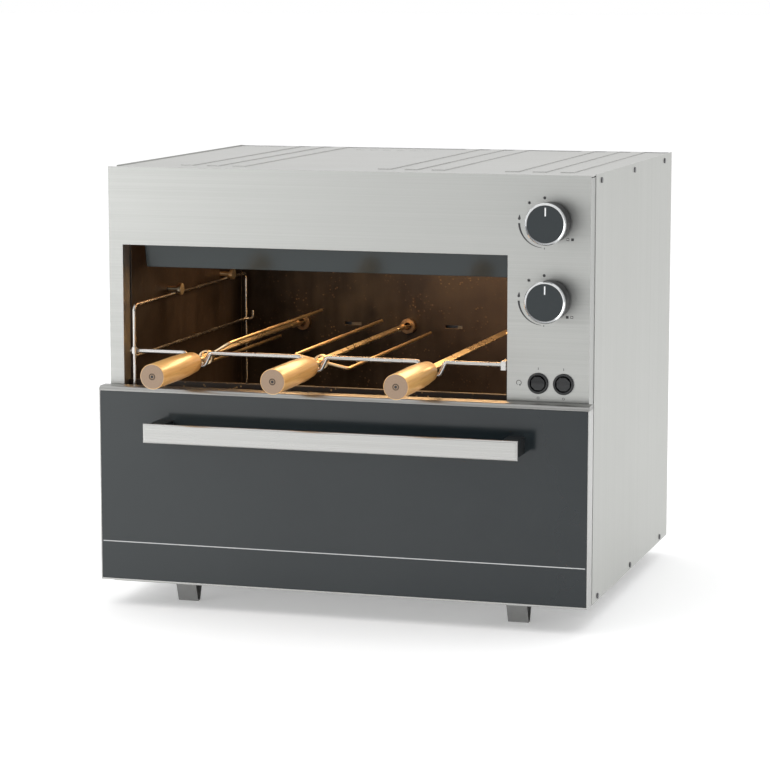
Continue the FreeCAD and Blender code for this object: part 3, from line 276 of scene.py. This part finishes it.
def chamber_sheet(name, clean, browned, roughness, film_scale=12.0, fleck=(0.06, 0.038, 0.022, 1.0)):
    """Dark heat-proof finish of the chamber, browned by use."""
    material, recipe, shader, where = start(name, Specular_IOR_Level=0.6)
    film = recipe.place(FILM, Where=where, Scale=film_scale)
    edges = recipe.place(EDGES, Radius=0.0008)
    colour = recipe.tint(film["Film"], clean, browned)
    # Painted shade over the rear wall's left part, darker leftwards and only near the back, where the chamber
    # lies in shade.
    parts = recipe.add("SeparateXYZ", {"Vector": where}).outputs
    leftwards = recipe.between(parts["X"], PAINTED_SHADE_CLEAR, PAINTED_SHADE_FULL)
    rearwards = recipe.between(parts["Y"], BACK_WALL_NEAR, BACK_WALL_FAR)
    deep = recipe.maths("MULTIPLY", leftwards, rearwards)
    with_painted_shade = recipe.tint(recipe.maths("MULTIPLY", deep, PAINTED_SHADE_SHARE), colour, PAINTED_SHADE)
    specked = recipe.tint(film["Specks"], with_painted_shade, fleck)
    recipe.feed(shader["Base Color"], recipe.tint(recipe.maths("MULTIPLY", edges["Edge"], 0.5), specked,
                                                  (0.2, 0.15, 0.11, 1.0)))
    recipe.feed(shader["Metallic"], recipe.between(film["Film"], 0.0, 1.0, 0.75, 0.3))
    recipe.feed(shader["Roughness"], recipe.between(film["Film"], 0.0, 1.0, roughness, roughness + 0.22))
    recipe.feed(shader["Normal"], recipe.bump(film["Height"], 0.35, 0.0005, edges["Normal"]))
    return material


def back_painted_glass(name, colour, right_shade_colour):
    """Toughened glass painted dark on its inner face, with a light film of dust and wiping marks, and painted
    shade that darkens it from left to right.
    """
    material, recipe, shader, where = start(name, IOR=1.5, Coat_Weight=0.0)
    marks = recipe.place(HANDLING, Where=where, Size=4.0)
    wiped = recipe.noise(recipe.stretched(where, (3.0, 20.0, 45.0)), 1.0, 4.0)
    # Painted shade: the colour darkens from the object's left end to its right end.
    across = recipe.add("SeparateXYZ", {"Vector": where}).outputs["X"]
    side = recipe.between(across, cad_low.x, cad_high.x)
    base = recipe.tint(side, colour, right_shade_colour)
    recipe.feed(shader["Base Color"], recipe.tint(recipe.maths("MULTIPLY", marks["Cloud"], 0.25), base,
                                                  tuple(1.25 * part for part in colour[:3]) + (1.0,)))
    recipe.feed(shader["Roughness"], recipe.between(wiped, 0.35, 0.7, 0.12, 0.2))
    recipe.feed(shader["Normal"], recipe.bump(marks["Grain"], 0.02, 0.00002,
                                              recipe.place(EDGES, Radius=0.001)["Normal"]))
    return material


def moulded(name, colour, roughness, grain_depth=0.0001):
    """Moulded plastic, rubber or enamel with a fine grain and paler rubbed edges."""
    material, recipe, shader, where = start(name)
    marks = recipe.place(HANDLING, Where=where, Size=40.0)
    edges = recipe.place(EDGES, Radius=0.0006)
    lifted = tuple(min(1.0, part * 1.8 + 0.012) for part in colour[:3]) + (1.0,)
    cloudy = recipe.tint(recipe.maths("MULTIPLY", marks["Cloud"], 0.35), colour, lifted)
    rubbed = recipe.maths("MULTIPLY", edges["Edge"], 0.6)
    recipe.feed(shader["Base Color"], recipe.tint(rubbed, cloudy, lifted))
    spread = recipe.between(marks["Grain"], 0.3, 0.7, roughness - 0.05, roughness + 0.08)
    recipe.feed(shader["Roughness"], spread)
    recipe.feed(shader["Normal"], recipe.bump(marks["Grain"], 0.25, grain_depth, edges["Normal"]))
    return material


def turned_wood(name, low, high):
    """Oiled hardwood: long grain down the barrel, and sawn end grain with rings about the tang."""
    material, recipe, shader, where = start(name, Coat_Weight=0.6, Coat_Roughness=0.15)
    centre = recipe.add("VectorMath", {0: where, 1: ((low.x + high.x) / 2, 0.0, (low.z + high.z) / 2)},
                        operation="SUBTRACT").outputs[0]
    fibres = recipe.noise(recipe.stretched(centre, (260.0, 9.0, 260.0)), 1.0, 5.0, 0.65)
    bands = recipe.noise(recipe.stretched(centre, (70.0, 5.0, 70.0)), 1.0, 2.0)
    pores = recipe.noise(recipe.stretched(centre, (900.0, 30.0, 900.0)), 1.0, 2.0)
    figure = recipe.between(recipe.maths("ADD", fibres, recipe.maths("MULTIPLY", bands, 0.8)), 0.6, 1.15)
    barrel = recipe.tint(figure, (0.70, 0.31, 0.075, 1.0), (0.99, 0.63, 0.23, 1.0))
    parts = recipe.add("SeparateXYZ", {"Vector": centre})
    flat = recipe.add("CombineXYZ", {"X": parts.outputs["X"], "Y": 0.0, "Z": parts.outputs["Z"]}).outputs[0]
    out = recipe.add("VectorMath", {0: flat}, operation="LENGTH").outputs["Value"]
    wobble = recipe.maths("ADD", out, recipe.maths("MULTIPLY", bands, 0.004))
    rings = recipe.maths("SINE", recipe.maths("MULTIPLY", wobble, GROWTH_RINGS))
    sawn = recipe.tint(recipe.between(rings, -1.0, 1.0), (0.25, 0.16, 0.095, 1.0), (0.335, 0.225, 0.14, 1.0))
    is_end = recipe.between(parts.outputs["Y"], low.y + 0.0007, low.y + 0.0002)
    wood = recipe.tint(is_end, barrel, sawn)
    burnt = recipe.maths("MULTIPLY", recipe.between(pores, 0.62, 0.75), 0.45)
    recipe.feed(shader["Base Color"], recipe.tint(burnt, wood, (0.16, 0.07, 0.025, 1.0)))
    recipe.feed(shader["Roughness"], recipe.between(fibres, 0.3, 0.7, 0.3, 0.48))
    recipe.feed(shader["Normal"], recipe.bump(recipe.maths("SUBTRACT", fibres, pores), 0.3, 0.0002))
    return material


def fired_tile(name):
    """Burner tile of pierced ceramic that glows faintly from behind its holes."""
    material, recipe, shader, where = start(name)
    holes = recipe.add("TexVoronoi", {"Vector": where, "Scale": 420.0, "Randomness": 0.0}).outputs["Distance"]
    pit = recipe.between(holes, 0.28, 0.18)
    scorch = recipe.noise(where, 18.0, 5.0)
    clay = recipe.tint(scorch, (0.55, 0.44, 0.34, 1.0), (0.84, 0.78, 0.68, 1.0))
    recipe.feed(shader["Base Color"], recipe.tint(pit, clay, (0.05, 0.03, 0.02, 1.0)))
    recipe.feed(shader["Roughness"], recipe.between(scorch, 0.0, 1.0, 0.75, 0.95))
    heat = recipe.tint(pit, (1.0, 0.3, 0.06, 1.0), (1.0, 0.5, 0.15, 1.0))
    recipe.feed(shader["Emission Color"], heat)
    shader["Emission Strength"].default_value = 0.6
    recipe.feed(shader["Normal"], recipe.bump(recipe.maths("SUBTRACT", 1.0, pit), 0.5, 0.0006))
    return material


def lit_lens(name):
    """Lens of the oven lamp, ribbed and lit from within."""
    material, recipe, shader, where = start(name, Roughness=0.2)
    across = recipe.add("SeparateXYZ", {"Vector": where}).outputs["X"]
    ribs = recipe.maths("SINE", recipe.maths("MULTIPLY", across, LENS_RIBS))
    recipe.feed(shader["Base Color"], recipe.tint(recipe.between(ribs, -1.0, 1.0), (0.8, 0.6, 0.38, 1.0),
                                                  (0.95, 0.84, 0.62, 1.0)))
    recipe.feed(shader["Emission Color"], recipe.tint(recipe.noise(where, 60.0), (1.0, 0.55, 0.22, 1.0),
                                                      (1.0, 0.7, 0.38, 1.0)))
    shader["Emission Strength"].default_value = 3.0
    recipe.feed(shader["Normal"], recipe.bump(ribs, 0.3, 0.0003))
    return material


def printed_ink(name, colour, wear=0.35):
    """Thin screen-printed ink, a little rubbed where it is touched."""
    material, recipe, shader, where = start(name)
    rubbed = recipe.noise(where, 900.0, 4.0)
    faded = tuple(part * 0.72 + 0.08 for part in colour[:3]) + (1.0,)
    recipe.feed(shader["Base Color"], recipe.tint(recipe.maths("MULTIPLY", rubbed, wear), colour, faded))
    recipe.feed(shader["Roughness"], recipe.between(rubbed, 0.3, 0.7, 0.4, 0.6))
    recipe.feed(shader["Normal"], recipe.bump(rubbed, 0.1, 0.00003))
    return material


ALONG_X, ALONG_Y, ALONG_Z = (2.0, 1500.0, 1500.0), (1500.0, 2.0, 1500.0), (1500.0, 1500.0, 2.0)
STEEL_LIGHT, STEEL_DARK = (0.44, 0.445, 0.43, 1.0), (0.395, 0.40, 0.385, 1.0)
FINISHES = {
    "brushed_steel": brushed_sheet("front sheet brushed crosswise", ALONG_X, STEEL_LIGHT, STEEL_DARK, 0.36),
    "formed_steel": plain_metal("bright formed sheet", (0.66, 0.66, 0.65, 1.0), (0.5, 0.5, 0.5, 1.0), 0.32),
    "chamber_steel": chamber_sheet("chamber sheet", (0.040, 0.030, 0.025, 1.0), (0.020, 0.013, 0.010, 1.0),
                                   0.34),
    "bright_wire": plain_metal("plated round wire", (0.60, 0.59, 0.57, 1.0), (0.56, 0.55, 0.53, 1.0), 0.2,
                               edge=0.0001, relief=0.02),
    # Painted warm light: the skewer steel gets a golden colour standing in for the warm lamp light on the
    # blades.
    "blade_steel": plain_metal("skewer steel", (0.90, 0.78, 0.56, 1.0), (0.80, 0.67, 0.46, 1.0), 0.24,
                               ALONG_Y, relief=0.03),
    "dark_glass": back_painted_glass("back-painted door glass", (0.028, 0.034, 0.036, 1.0),
                                     (0.003, 0.008, 0.011, 1.0)),
    "clear_glass": lit_lens("lamp lens"),
    "satin_trim": brushed_sheet("satin trim", ALONG_X, (0.49, 0.49, 0.475, 1.0), (0.42, 0.42, 0.41, 1.0),
                                0.27),
    "door_enamel": moulded("satin black enamel", (0.012, 0.012, 0.013, 1.0), 0.35),
    "seal_rubber": moulded("heat-proof rubber", (0.012, 0.012, 0.012, 1.0), 0.75),
    "black_moulding": moulded("black moulding", (0.010, 0.011, 0.012, 1.0), 0.34),
    "chrome_ring": plain_metal("polished chrome", (0.64, 0.65, 0.65, 1.0), (0.48, 0.49, 0.50, 1.0), 0.08),
    "gear_steel": plain_metal("machined gear steel", (0.20, 0.20, 0.205, 1.0), (0.12, 0.12, 0.125, 1.0),
                              0.42),
    "valve_brass": plain_metal("machined brass", (0.78, 0.58, 0.28, 1.0), (0.55, 0.38, 0.16, 1.0), 0.28),
    "stem_steel": plain_metal("turned stem steel", (0.62, 0.62, 0.62, 1.0), (0.42, 0.42, 0.42, 1.0), 0.3,
                              ALONG_Y),
    "gas_pipe": plain_metal("drawn pipe", (0.66, 0.66, 0.66, 1.0), (0.45, 0.45, 0.45, 1.0), 0.3),
    "burner_ceramic": fired_tile("burner tile"),
    "turned_groove": moulded("scorched groove in the grip", (0.05, 0.028, 0.015, 1.0), 0.7),
}
SPECIAL = {
    "top_panel": brushed_sheet("roof sheet brushed crosswise", ALONG_X, (0.50, 0.50, 0.485, 1.0),
                               (0.45, 0.45, 0.435, 1.0), 0.42),
    "side_panel_left": brushed_sheet("side sheet brushed upright", ALONG_Z, (0.53, 0.535, 0.515, 1.0),
                                     (0.50, 0.505, 0.485, 1.0), 0.5),
}
SPECIAL["side_panel_right"] = SPECIAL["side_panel_left"]
# The hood enamel carries the same painted shade, darker towards the right.
SPECIAL["hood_deflector"] = back_painted_glass("dark hood enamel", (0.022, 0.032, 0.033, 1.0),
                                               (0.014, 0.024, 0.028, 1.0))
SPECIAL["front_rail"] = chamber_sheet("scorched rail", (0.04, 0.028, 0.02, 1.0), (0.012, 0.008, 0.006, 1.0),
                                      0.4, 60.0, (0.55, 0.33, 0.14, 1.0))
SOCKET_STEEL = plain_metal("heat-tinted socket steel", (0.34, 0.24, 0.15, 1.0), (0.16, 0.11, 0.07, 1.0), 0.35)
for side in ("left", "middle", "right"):
    SPECIAL[f"spit_drive_{side}"] = SOCKET_STEEL
# Painted warm light: the fork wire gets a golden colour standing in for the warm lamp light on it.
FORK_STEEL = plain_metal("fork wire with painted warm light", (0.86, 0.70, 0.46, 1.0), (0.83, 0.66, 0.42, 1.0), 0.28,
                         edge=0.0001, relief=0.02)
SPECIAL["spit_fork_left"] = SPECIAL["spit_fork_middle"] = FORK_STEEL
# Painted warm light: the stud heads get a bright golden colour standing in for the warm lamp light on them.
SPECIAL["hanging_studs"] = plain_metal("stud heads with painted warm light", (0.98, 0.88, 0.66, 1.0), (0.92, 0.80, 0.56, 1.0),
                                       0.25, edge=0.0001, relief=0.02)
# Painted shade and reflection: this darker copy of the satin trim stands in for the dark reflections the
# door's top trim shows.
SPECIAL["door_top_trim"] = brushed_sheet("door trim with painted shade", ALONG_X, (0.33, 0.33, 0.32, 1.0),
                                         (0.28, 0.28, 0.27, 1.0), 0.34)
SPECIAL["gear_carrier"] = plain_metal("dark gear plate", (0.16, 0.16, 0.16, 1.0), (0.10, 0.10, 0.10, 1.0),
                                      0.5)
SPECIAL["feet"] = plain_metal("shaded folded feet", (0.40, 0.40, 0.395, 1.0), (0.31, 0.31, 0.305, 1.0), 0.4)
for level in ("upper", "lower"):
    SPECIAL[f"knob_{level}"] = knob_moulding(f"knob {level}", *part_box(f"knob_{level}"))


def dress(piece, material):
    """Gives one CAD piece its finish."""
    if not piece.material_slots:
        piece.data.materials.append(material)
    for slot in piece.material_slots:
        slot.material = material


for label, piece in NODES.items():
    if SLOT_OF[label] == "turned_wood":
        dress(piece, turned_wood(f"turned wood of {label}", *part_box(label)))
    else:
        dress(piece, SPECIAL.get(label, FINISHES[SLOT_OF[label]]))


# ------------------------------------------------------------------------------------------
# Making small pieces
# ------------------------------------------------------------------------------------------
def finished(name, shape, material, body, smooth=False):
    """Turns a bmesh into a piece of the object that rides on a body."""
    bmesh.ops.remove_doubles(shape, verts=shape.verts, dist=1e-7)
    bmesh.ops.recalc_face_normals(shape, faces=shape.faces)
    mesh = bpy.data.meshes.new(name)
    shape.to_mesh(mesh)
    shape.free()
    if smooth:
        mesh.polygons.foreach_set("use_smooth", [True] * len(mesh.polygons))
    mesh.materials.append(material)
    piece = bpy.data.objects.new(name, mesh)
    bpy.context.scene.collection.objects.link(piece)
    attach(piece, body)
    return piece


def face_on(shape, verts, x, y, z):
    """Stands a flat figure drawn in X and Y upright, facing the user, and puts it in place."""
    upright = Matrix.Translation((x, y, z)) @ Matrix.Rotation(math.radians(90), 4, "X")
    bmesh.ops.transform(shape, matrix=upright, verts=verts)


def thicken(shape, faces, depth):
    """Gives flat printed faces their thickness, towards the user."""
    raised = bmesh.ops.extrude_face_region(shape, geom=faces)["geom"]
    verts = [part for part in raised if isinstance(part, bmesh.types.BMVert)]
    bmesh.ops.translate(shape, vec=(0, -depth, 0), verts=verts)


INK = 0.06 * MM


def print_dot(shape, x, y, z, radius):
    made = bmesh.ops.create_circle(shape, cap_ends=True, segments=20, radius=radius)["verts"]
    face_on(shape, made, x, y, z)
    thicken(shape, list({face for vert in made for face in vert.link_faces}), INK)


def print_bar(shape, x, y, z, wide, tall, turn=0.0):
    made = bmesh.ops.create_grid(shape, x_segments=1, y_segments=1, size=0.5)["verts"]
    bmesh.ops.scale(shape, vec=(wide, tall, 1.0), verts=made)
    bmesh.ops.rotate(shape, matrix=Matrix.Rotation(turn, 3, "Z"), verts=made)
    face_on(shape, made, x, y, z)
    thicken(shape, list({face for vert in made for face in vert.link_faces}), INK)


def print_arc(shape, x, y, z, radius, wide, begin, sweep, taper=0.0):
    """A printed arc about (x, z), from begin through sweep in degrees, that may narrow towards its end."""
    first = math.radians(begin)
    ends = [shape.verts.new((r * math.cos(first), r * math.sin(first), 0.0)) for r in (radius, radius + wide)]
    edge = shape.edges.new(ends)
    steps = max(6, int(abs(sweep) / 7))
    bmesh.ops.spin(shape, geom=[edge, *ends], cent=(0, 0, 0), axis=(0, 0, 1), angle=math.radians(sweep),
                   steps=steps)
    faces = list({face for vert in ends for face in vert.link_faces})
    grown = set(faces)
    while faces:
        faces = list({near for face in faces for rim in face.edges for near in rim.link_faces} - grown)
        grown.update(faces)
    verts = list({vert for face in grown for vert in face.verts})
    for vert in verts:
        along = (math.degrees(math.atan2(vert.co.y, vert.co.x)) - begin) / sweep % (360 / abs(sweep))
        if vert.co.length > radius + wide / 2:
            vert.co *= 1 - taper * min(along, 1.0) * wide / (radius + wide)
    face_on(shape, verts, x, y, z)
    thicken(shape, list(grown), INK)


def print_flame(shape, x, y, z, size):
    """A small flame: a disc pulled up to a leaning tip."""
    made = bmesh.ops.create_circle(shape, cap_ends=True, segments=18, radius=size * 0.42)["verts"]
    for vert in made:
        if vert.co.y > 0:
            rise = vert.co.y / (size * 0.42)
            vert.co.y += size * 0.75 * rise ** 3
            vert.co.x = vert.co.x * (1 - 0.3 * rise) + size * 0.12 * rise ** 2
    face_on(shape, made, x, y, z)
    thicken(shape, list({face for vert in made for face in vert.link_faces}), INK)


# ------------------------------------------------------------------------------------------
# Printed marks on the fascia and the knobs
# ------------------------------------------------------------------------------------------
BLACK_INK = printed_ink("black fascia print", (0.02, 0.02, 0.022, 1.0))
WHITE_INK = printed_ink("white pointer print", (0.82, 0.83, 0.83, 1.0), 0.2)
SILVER_INK = printed_ink("silver line print", (0.62, 0.63, 0.63, 1.0), 0.3)

fascia_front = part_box("fascia")[0].y
KNOBS = {"upper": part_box("knob_ring_upper"), "lower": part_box("knob_ring_lower")}


PRINT_LIFT = 0.02 * MM                 # how far the print starts in front of the sheet
MARKS_LEFT, MARKS_DOWN = 8.6 * MM, 1.2 * MM    # centre of the marks, from the knob's axis
MARKS_REACH = 28.2 * MM
TOP_DOT = 1.7 * MM
SPARK_LEFT, SPARK_UP = 17.4 * MM, 21.9 * MM
SPARK_WIDE, SPARK_LONG = 1.0 * MM, 3.8 * MM
FLAME_UP, FLAME_SIZE = 4.2 * MM, 3.8 * MM
ARC_WIDE, ARC_FROM, ARC_SWEEP, ARC_TAPER = 2.4 * MM, 182, 82, 0.85
SQUARE_RIGHT, SQUARE_DOWN, SQUARE_STEP = 26.6 * MM, 17.9 * MM, 5.2 * MM
SQUARE_SIDE, SQUARE_WINDOW = 3.0 * MM, 1.8 * MM
SWITCH_MARK_OUT = 16.5 * MM            # marks over and under a switch, from its middle
SIGN_LEFT = 14.5 * MM                  # round arrow, from the motor switch's edge


def knob_scale(label, low, high):
    """Marks round one knob: a closed dot at the top, a spark, a flame and a narrowing arc."""
    x, z, reach = (low.x + high.x) / 2 - MARKS_LEFT, (low.z + high.z) / 2 - MARKS_DOWN, MARKS_REACH
    y = fascia_front - PRINT_LIFT
    shape = bmesh.new()
    print_dot(shape, x, y, z + reach - 0.6 * MM, TOP_DOT)
    for turn in range(3):
        print_bar(shape, x - SPARK_LEFT, y, z + SPARK_UP, SPARK_WIDE, SPARK_LONG, math.radians(60 * turn))
    print_flame(shape, x - reach - 0.6 * MM, y, z + FLAME_UP, FLAME_SIZE)
    print_arc(shape, x, y, z, reach - 0.4 * MM, ARC_WIDE, ARC_FROM, ARC_SWEEP, ARC_TAPER)
    print_bar(shape, x, y, z - reach - 0.2 * MM, 0.7 * MM, 2.0 * MM)
    for step, hollow in ((0, label == "upper"), (1, label == "lower")):
        across, down = x + SQUARE_RIGHT + step * SQUARE_STEP, z - SQUARE_DOWN
        print_bar(shape, across, y, down, SQUARE_SIDE, SQUARE_SIDE)
        if hollow:
            inner = bmesh.new()
            print_bar(inner, across, y - INK, down, SQUARE_WINDOW, SQUARE_WINDOW)
            finished(f"knob_mark_window_{label}", inner, FINISHES["satin_trim"], "cabinet")
    finished(f"knob_scale_{label}", shape, BLACK_INK, "cabinet")


def knob_pointer(label):
    """White line set in the knob's face."""
    low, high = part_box(f"knob_{label}")
    x, z, reach = (low.x + high.x) / 2, (low.z + high.z) / 2, (high.x - low.x) / 2
    shape = bmesh.new()
    print_bar(shape, x, low.y - 0.01 * MM, z + reach * 0.6, 1.5 * MM, reach * 0.42)
    bmesh.ops.bevel(shape, geom=list(shape.edges), offset=0.02 * MM, affect="EDGES", segments=1, profile=0.5,
                    material=-1)
    finished(f"knob_pointer_{label}", shape, WHITE_INK, f"knob_{label}")


def turning_sign():
    """Round arrow beside the motor switch."""
    low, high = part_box("rocker_left")
    x, z = low.x - SIGN_LEFT, (low.z + high.z) / 2
    y = fascia_front - PRINT_LIFT
    shape = bmesh.new()
    print_arc(shape, x, y, z, 2.4 * MM, 0.65 * MM, -40, 275)
    print_bar(shape, x + 1.4 * MM, y, z - 2.6 * MM, 2.2 * MM, 0.7 * MM, math.radians(75))
    print_bar(shape, x + 1.0 * MM, y, z - 2.1 * MM, 2.0 * MM, 0.7 * MM, math.radians(10))
    finished("turning_sign", shape, BLACK_INK, "cabinet")


def switch_marks():
    """Short strokes over and under each switch: a bar for on and a ring for off."""
    y = fascia_front - PRINT_LIFT
    for side in ("left", "right"):
        low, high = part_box(f"rocker_{side}")
        x, z = (low.x + high.x) / 2, (low.z + high.z) / 2
        shape = bmesh.new()
        print_bar(shape, x, y, z + SWITCH_MARK_OUT, 0.7 * MM, 2.8 * MM)
        print_arc(shape, x, y, z - SWITCH_MARK_OUT, 0.95 * MM, 0.5 * MM, 0, 359)
        finished(f"switch_marks_{side}", shape, BLACK_INK, "cabinet")


for label, (low, high) in KNOBS.items():
    knob_scale(label, low, high)
    knob_pointer(label)
turning_sign()
switch_marks()

# ------------------------------------------------------------------------------------------
# Printed line across the door glass
# ------------------------------------------------------------------------------------------
glass_low, glass_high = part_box("door_glass")
LINE_HEIGHT = 76 * MM
line = bmesh.new()
print_bar(line, (glass_low.x + glass_high.x) / 2, glass_low.y - 0.01 * MM, LINE_HEIGHT,
          glass_high.x - glass_low.x - 3 * MM, 1.0 * MM)
finished("door_line", line, SILVER_INK, "door")


# ------------------------------------------------------------------------------------------
# Tang ends in the grips
# ------------------------------------------------------------------------------------------
def tang_end(label):
    """Steel tang end with a sunk centre, set in the end of a wooden grip inside a dark turned groove."""
    low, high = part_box(f"wood_grip_{label}")
    x, z = (low.x + high.x) / 2, (low.z + high.z) / 2
    for name, rim, hub, lift, material in (
            ("groove", 3.7 * MM, 2.6 * MM, 0.06 * MM, FINISHES["turned_groove"]),
            ("tang_end", 1.6 * MM, 0.6 * MM, 0.12 * MM, FINISHES["door_enamel"])):
        shape = bmesh.new()
        outer = bmesh.ops.create_circle(shape, cap_ends=True, segments=28, radius=rim)["verts"]
        face = next(iter(outer[0].link_faces))
        bmesh.ops.inset_region(shape, faces=[face], thickness=rim - hub, use_boundary=True,
                               use_even_offset=True)
        if name == "groove":
            bmesh.ops.delete(shape, geom=[face], context="FACES")
        face_on(shape, shape.verts[:], x, low.y - lift / 4, z)
        thicken(shape, shape.faces[:], lift)
        finished(f"{name}_{label}", shape, material, f"spit_{label}")


for label in ("left", "middle", "right"):
    tang_end(label)


# ------------------------------------------------------------------------------------------
# Studio: pale floor, soft light, camera
# ------------------------------------------------------------------------------------------
FLOOR_HALF, FLOOR_GLOW = 60.0, 0.22
SHADE = (0.32, 0.33, 0.34, 1.0)
LAMP_WARM, BURNER_WARM = (1.0, 0.55, 0.24), (1.0, 0.62, 0.3)
VIEW_PLACE, VIEW_YAW, VIEW_PITCH = (0.9603, -3.2198, 0.7205), math.radians(16.66), math.radians(8.07)
SENSOR_WIDE, LENS_LENGTH = 36.0, 132.6


def soft_light(name, place, aim, size, power, colour=(1.0, 1.0, 1.0)):
    data = bpy.data.lights.new(name, "AREA")
    data.shape, data.size, data.size_y = "RECTANGLE", size[0], size[1]
    data.energy, data.color = power, colour
    lamp = bpy.data.objects.new(name, data)
    lamp.location = place
    lamp.rotation_mode = "QUATERNION"
    lamp.rotation_quaternion = (Vector(aim) - Vector(place)).to_track_quat("-Z", "Y")
    bpy.context.scene.collection.objects.link(lamp)


def glow(name, place, power, radius, colour):
    data = bpy.data.lights.new(name, "POINT")
    data.energy, data.color, data.shadow_soft_size = power, colour, radius
    lamp = bpy.data.objects.new(name, data)
    lamp.location = place
    bpy.context.scene.collection.objects.link(lamp)


def pale_floor():
    shape = bmesh.new()
    bmesh.ops.create_grid(shape, x_segments=1, y_segments=1, size=FLOOR_HALF)
    mesh = bpy.data.meshes.new("floor")
    shape.to_mesh(mesh)
    shape.free()
    material, recipe, shader, where = start("pale floor", Roughness=0.9, Specular_IOR_Level=0.1)
    recipe.feed(shader["Base Color"], recipe.tint(recipe.noise(where, 3.0), (0.95, 0.95, 0.95, 1.0),
                                                  (0.97, 0.97, 0.97, 1.0)))
    shader["Emission Color"].default_value = WHITE
    shader["Emission Strength"].default_value = FLOOR_GLOW
    mesh.materials.append(material)
    floor = bpy.data.objects.new("floor", mesh)
    bpy.context.scene.collection.objects.link(floor)


def studio():
    world = bpy.data.worlds.new("studio")
    world.use_nodes = True
    room = Recipe(world.node_tree)
    parts = room.add("SeparateXYZ", {"Vector": room.add("TexCoord").outputs["Generated"]}).outputs
    dimmer = room.between(parts["X"], -0.55, 0.35)
    user_side = room.between(parts["Y"], 0.1, -0.4)
    shade = room.maths("MULTIPLY", dimmer, user_side)
    room.feed(world.node_tree.nodes["Background"].inputs["Color"],
              room.tint(shade, WHITE, SHADE))
    world.node_tree.nodes["Background"].inputs["Strength"].default_value = 1.0
    bpy.context.scene.world = world
    bpy.context.scene.view_settings.view_transform = "Standard"
    pale_floor()
    soft_light("overhead", (0.0, -0.4, 3.0), (0, 0, 0), (5.0, 5.0), 45)
    soft_light("left card", (-2.1, -2.5, 0.75), (0, -0.1, 0.3), (1.1, 1.6), 19)
    glow("lamp glow", (0.165, 0.17, 0.375), 0.22, 0.02, LAMP_WARM)
    soft_light("burner glow", (0.0, 0.06, 0.41), (0.0, 0.08, 0.2), (0.36, 0.12), 1.8, BURNER_WARM)


def camera():
    """A long lens from the front right, a little above the oven."""
    yaw, pitch = VIEW_YAW, VIEW_PITCH
    data = bpy.data.cameras.new("camera")
    data.sensor_width = SENSOR_WIDE
    data.lens = LENS_LENGTH
    view = bpy.data.objects.new("camera", data)
    view.location = VIEW_PLACE
    ahead = Vector((-math.sin(yaw) * math.cos(pitch), math.cos(yaw) * math.cos(pitch), -math.sin(pitch)))
    view.rotation_mode = "QUATERNION"
    view.rotation_quaternion = ahead.to_track_quat("-Z", "Y")
    bpy.context.scene.collection.objects.link(view)
    bpy.context.scene.camera = view


studio()
camera()
